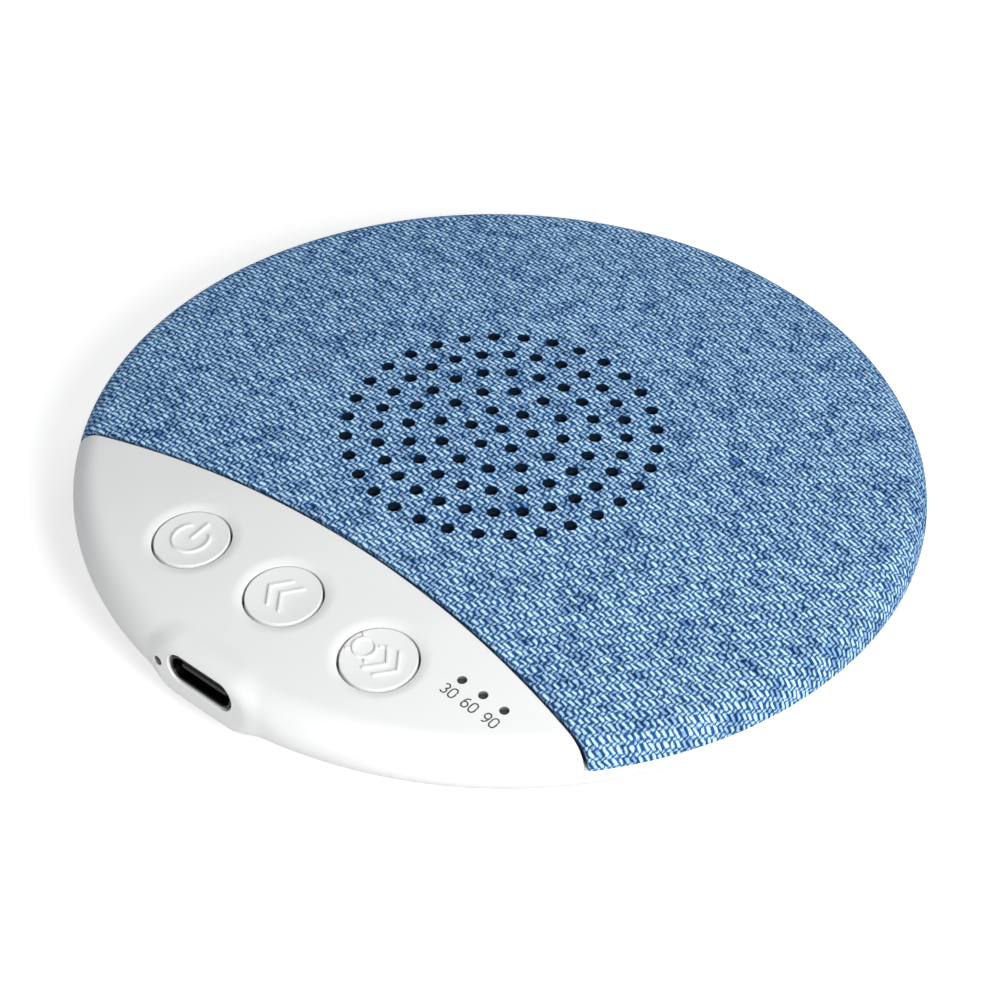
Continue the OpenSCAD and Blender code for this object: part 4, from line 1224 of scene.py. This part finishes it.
def rubber_feet():
    """Turned feet with a rounded edge and a shallow groove in the sole."""
    top, low = feet_high.z, feet_low.z
    middle_r, middle_z = foot_r - foot_turn, low + foot_turn
    profile = [(foot_r - foot_edge, top), (foot_r, top - foot_edge)]
    for t in np.linspace(0, math.pi / 2, 6):
        profile.append((middle_r + foot_turn * math.cos(t), middle_z - foot_turn * math.sin(t)))
    profile += [(r, low + deep) for r, deep in foot_groove]
    made = []
    for at in [(sx * foot_x, sy * foot_y) for sx in (-1, 1) for sy in (-1, 1)]:
        rings = [np.column_stack([ways(turns(64)) * r + at, np.full(64, z)]) for r, z in profile]
        foot = even_normals(lofted(f"foot_{len(made) + 1}", rings, "rubber"))
        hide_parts("rubber_feet")
        made.append(foot)
    return made


feet = rubber_feet()
cover = softened("base_cover", 0.12)


# Surround
# A half-roll of coated cloth between the cone's lip and the basket's rim, made in sectors.
surround_low, surround_high = (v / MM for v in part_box("surround"))
surround_r = (surround_high.x - surround_low.x) / 2
surround_t = 0.2
lip_w = 0.6
lip_r = (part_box("cone")[1].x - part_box("cone")[0].x) / 2 / MM
roll_x = surround_r - 3.5
roll_r = 1.8
roll_foot = 1.25
sectors = 24
sector_steps = 7


def roll_section():
    """The roll's middle line with flats on both sides, given its thickness, as radius and height."""
    flat_z = surround_low.z + surround_t / 2
    middle_z = surround_high.z - roll_r
    radius = roll_r - surround_t / 2
    foot = math.asin((flat_z - middle_z) / radius)
    turn = np.linspace(math.pi - foot, foot, 25)
    roll = np.column_stack([roll_x + radius * np.cos(turn), middle_z + radius * np.sin(turn)])
    line = spaced(np.vstack([[(lip_r - lip_w, flat_z)], roll, [(surround_r, flat_z)]]), 0.12)
    for _ in range(4):
        line[1:-1] = (line[:-2] + 2 * line[1:-1] + line[2:]) / 4
    both = ribbon(line, surround_t)
    n = len(line)
    return np.vstack([both[n:], both[:n][::-1]])


def surround_sectors():
    middle = middle_of("surround")
    section = roll_section()
    step = 2 * math.pi / sectors
    pieces = []
    for k in range(sectors):
        rings = []
        for way in ways(np.linspace(k * step, (k + 1) * step, sector_steps)):
            plan = np.outer(section[:, 0], way) + [middle.x, middle.y]
            rings.append(np.column_stack([plan, section[:, 1]]))
        way = Vector((math.cos((k + 0.5) * step), math.sin((k + 0.5) * step), 0))
        start, end = (Vector((middle.x, middle.y, middle.z)) + way * r for r in (roll_x + roll_foot, lip_r))
        body = ("case", "driver_cone", start * MM, end * MM)
        piece = lofted(f"surround_{k + 1:02d}", rings, "surround_foam", body)
        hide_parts("surround")
        pieces.append(piece)
    return pieces


surround = surround_sectors()


# Finishes
# Every piece of the inside keeps the form of its solid and gets its own finish: moulded plastics,
# turned and stamped steel, rubber, paper, copper wire, lacquered board and printed parts.
even = (1.0, 1.0, 1.0)


def finished(name, color, roughness, metallic, grain, depth, stretch=even, uneven=0.25):
    """An uneven colour, a grain in the relief and a gloss that varies with the grain. The grain has
    a size and a depth in millimetres. Gives the material and its grain."""
    material = new_material(name, color, roughness, metallic)
    fine = cloudy(material, grain, 3.0, stretch)
    dull = tuple(c * (1 - uneven) for c in color)
    worn = scaled(cloudy(material, grain * 12, 2.0, stretch), 0.6, times(fine, 0.4))
    put(material, "Base Color", mixed(eased(worn, 0.35, 0.65), dull, color))
    put(material, "Roughness", scaled(fine, 0.2, roughness - 0.1))
    raised(material, fine, depth)
    return material, fine


def plan_cells(material, size):
    """Square cells of a size in millimetres: how far a place lies from its cell's middle across and
    along, and a chance for each cell."""
    away, cell = [], []
    for value in parts_of(own_place(material))[:2]:
        across = times(value, 1 / (size * MM))
        cell.append(whole(across))
        away.append(size_of(minus(minus(across, cell[-1]), 0.5)))
    return away, chance_of(*cell)


def lacquered_board():
    """Green lacquer over copper tracks: in each cell a track runs one way or the other."""
    material, fine = finished("board_lacquer", (0.012, 0.115, 0.045), 0.32, 0.0, 0.3, 0.004)
    (across, along), chance = plan_cells(material, 0.7)
    way = maths("GREATER_THAN", chance, 0.5)
    off = plus(times(across, way), times(along, minus(1.0, way)))
    track = eased(off, 0.17, 0.12)
    put(material, "Base Color", mixed(track, (0.010, 0.10, 0.040), (0.05, 0.24, 0.09)))
    raised(material, scaled(fine, 0.2, track), 0.02)
    return material


def woven_mesh():
    """Black gauze: wires where either of two sets of stripes is near its middle."""
    material = finished("gauze", (0.02, 0.02, 0.022), 0.7, 0.0, 0.1, 0.01)[0]
    wire = eased(maths("MINIMUM", *plan_cells(material, 0.26)[0]), 0.22, 0.08)
    put(material, "Base Color", mixed(wire, (0.002, 0.002, 0.002), (0.035, 0.037, 0.04)))
    raised(material, wire, 0.05)
    return material


def wound_copper():
    """Enamelled wire laid turn on turn: stripes of the height, darker in the grooves between turns as
    painted shade.
    """
    wire_d = 0.13
    material = finished("copper_wire", (0.72, 0.29, 0.12), 0.3, 1.0, 0.1, 0.01)[0]
    height = parts_of(own_place(material))[2]
    wire = scaled(maths("SINE", times(height, 2 * math.pi / (wire_d * MM))), 0.5, 0.5)
    # Painted shade: the grooves between turns are coloured darker than the copper
    put(material, "Base Color", mixed(wire, (0.30, 0.09, 0.03), (0.78, 0.33, 0.14)))
    raised(material, wire, 0.04)
    return material


def smoked_guide():
    """Smoke-tinted clear plastic, a little hazy from its mould."""
    material = finished("smoked_clear", (0.10, 0.11, 0.12), 0.22, 0.0, 0.3, 0.004)[0]
    put(material, "Transmission Weight", 0.6)
    put(material, "IOR", 1.58)
    return material


base_white = moulded_white("base_white", (0.76, 0.76, 0.75), 0.55)
slot_finish = {
    "white_plastic": white_abs,
    "cap_plastic": white_abs,
    "base_plastic": base_white,
    "fabric_blue": twill_blue,
    "copper": wound_copper(),
    "mesh_black": woven_mesh(),
    "clear_guide": smoked_guide(),
    "board_green": lacquered_board(),
}

# The slot, then the finish: name, colour, roughness, metal, and the grain's size, depth and stretch
for slot, *look in (
    ("grille_plastic", "plate_plastic", (0.010, 0.018, 0.030), 0.6, 0.0, 0.15, 0.02),
    ("rubber", "soft_rubber", (0.045, 0.045, 0.048), 0.8, 0.0, 0.12, 0.03),
    ("screw_steel", "screw_zinc", (0.62, 0.62, 0.60), 0.3, 1.0, 0.08, 0.01),
    ("yoke_steel", "yoke_zinc", (0.55, 0.54, 0.50), 0.34, 1.0, 0.2, 0.01, (1.0, 6.0, 1.0)),
    ("magnet_nickel", "magnet_plate", (0.60, 0.58, 0.54), 0.22, 1.0, 0.3, 0.005),
    ("basket_steel", "basket_zinc", (0.50, 0.51, 0.52), 0.36, 1.0, 0.25, 0.01),
    ("cone_paper", "cone_pulp", (0.030, 0.030, 0.032), 0.85, 0.0, 0.18, 0.04, (3.0, 1.0, 1.0), 0.4),
    ("surround_foam", "surround_cloth", (0.022, 0.022, 0.024), 0.9, 0.0, 0.09, 0.04),
    ("fibre_board", "pressed_fibre", (0.32, 0.17, 0.075), 0.75, 0.0, 0.15, 0.02, (4.0, 1.0, 1.0)),
    ("chip_black", "chip_resin", (0.020, 0.020, 0.022), 0.55, 0.0, 0.06, 0.01),
    ("switch_black", "switch_nylon", (0.028, 0.028, 0.030), 0.45, 0.0, 0.1, 0.01),
    ("plunger_tan", "plunger_nylon", (0.42, 0.30, 0.17), 0.5, 0.0, 0.12, 0.01),
    # The inlet's steel is coloured nearly black, as painted shade inside the opening; its metal gloss is
    # its own
    ("port_steel", "inlet_nickel", (0.07, 0.07, 0.074), 0.3, 1.0, 0.12, 0.004, (1.0, 5.0, 1.0)),
    ("tongue_black", "tongue_resin", (0.012, 0.012, 0.013), 0.4, 0.0, 0.08, 0.005),
    ("can_steel", "can_tin", (0.66, 0.66, 0.64), 0.3, 1.0, 0.3, 0.006, (1.0, 5.0, 1.0)),
    ("can_gold", "contact_gold", (0.83, 0.60, 0.26), 0.25, 1.0, 0.08, 0.003),
    ("led_resin", "lamp_resin", (0.80, 0.72, 0.36), 0.35, 0.0, 0.1, 0.005),
    ("ferrite", "ferrite_block", (0.075, 0.075, 0.080), 0.6, 0.0, 0.1, 0.02),
    ("ceramic_tan", "ceramic_body", (0.36, 0.24, 0.14), 0.45, 0.0, 0.08, 0.005),
    ("socket_ivory", "socket_nylon", (0.70, 0.66, 0.54), 0.5, 0.0, 0.15, 0.01),
    ("pouch_foil", "pouch_film", (0.62, 0.64, 0.66), 0.32, 1.0, 0.8, 0.05),
    ("cell_film", "amber_film", (0.52, 0.27, 0.04), 0.35, 0.0, 0.3, 0.01),
    ("tape_white", "foam_tape", (0.78, 0.77, 0.73), 0.85, 0.0, 0.15, 0.03),
    ("lead_red", "red_silicone", (0.42, 0.015, 0.012), 0.4, 0.0, 0.15, 0.005),
    ("lead_black", "black_silicone", (0.015, 0.015, 0.016), 0.4, 0.0, 0.15, 0.005),
):
    slot_finish[slot] = finished(*look)[0]

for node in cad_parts.values():
    for held in node.material_slots:
        held.material = slot_finish[held.material.name]
for slot, pieces in (
    ("port_steel", [tube]),
    ("tongue_black", [tongue]),
    ("can_gold", [contacts]),
    ("base_plastic", [cover]),
    ("rubber", feet),
    ("surround_foam", surround),
):
    for piece in pieces:
        piece.data.materials.append(slot_finish[slot])
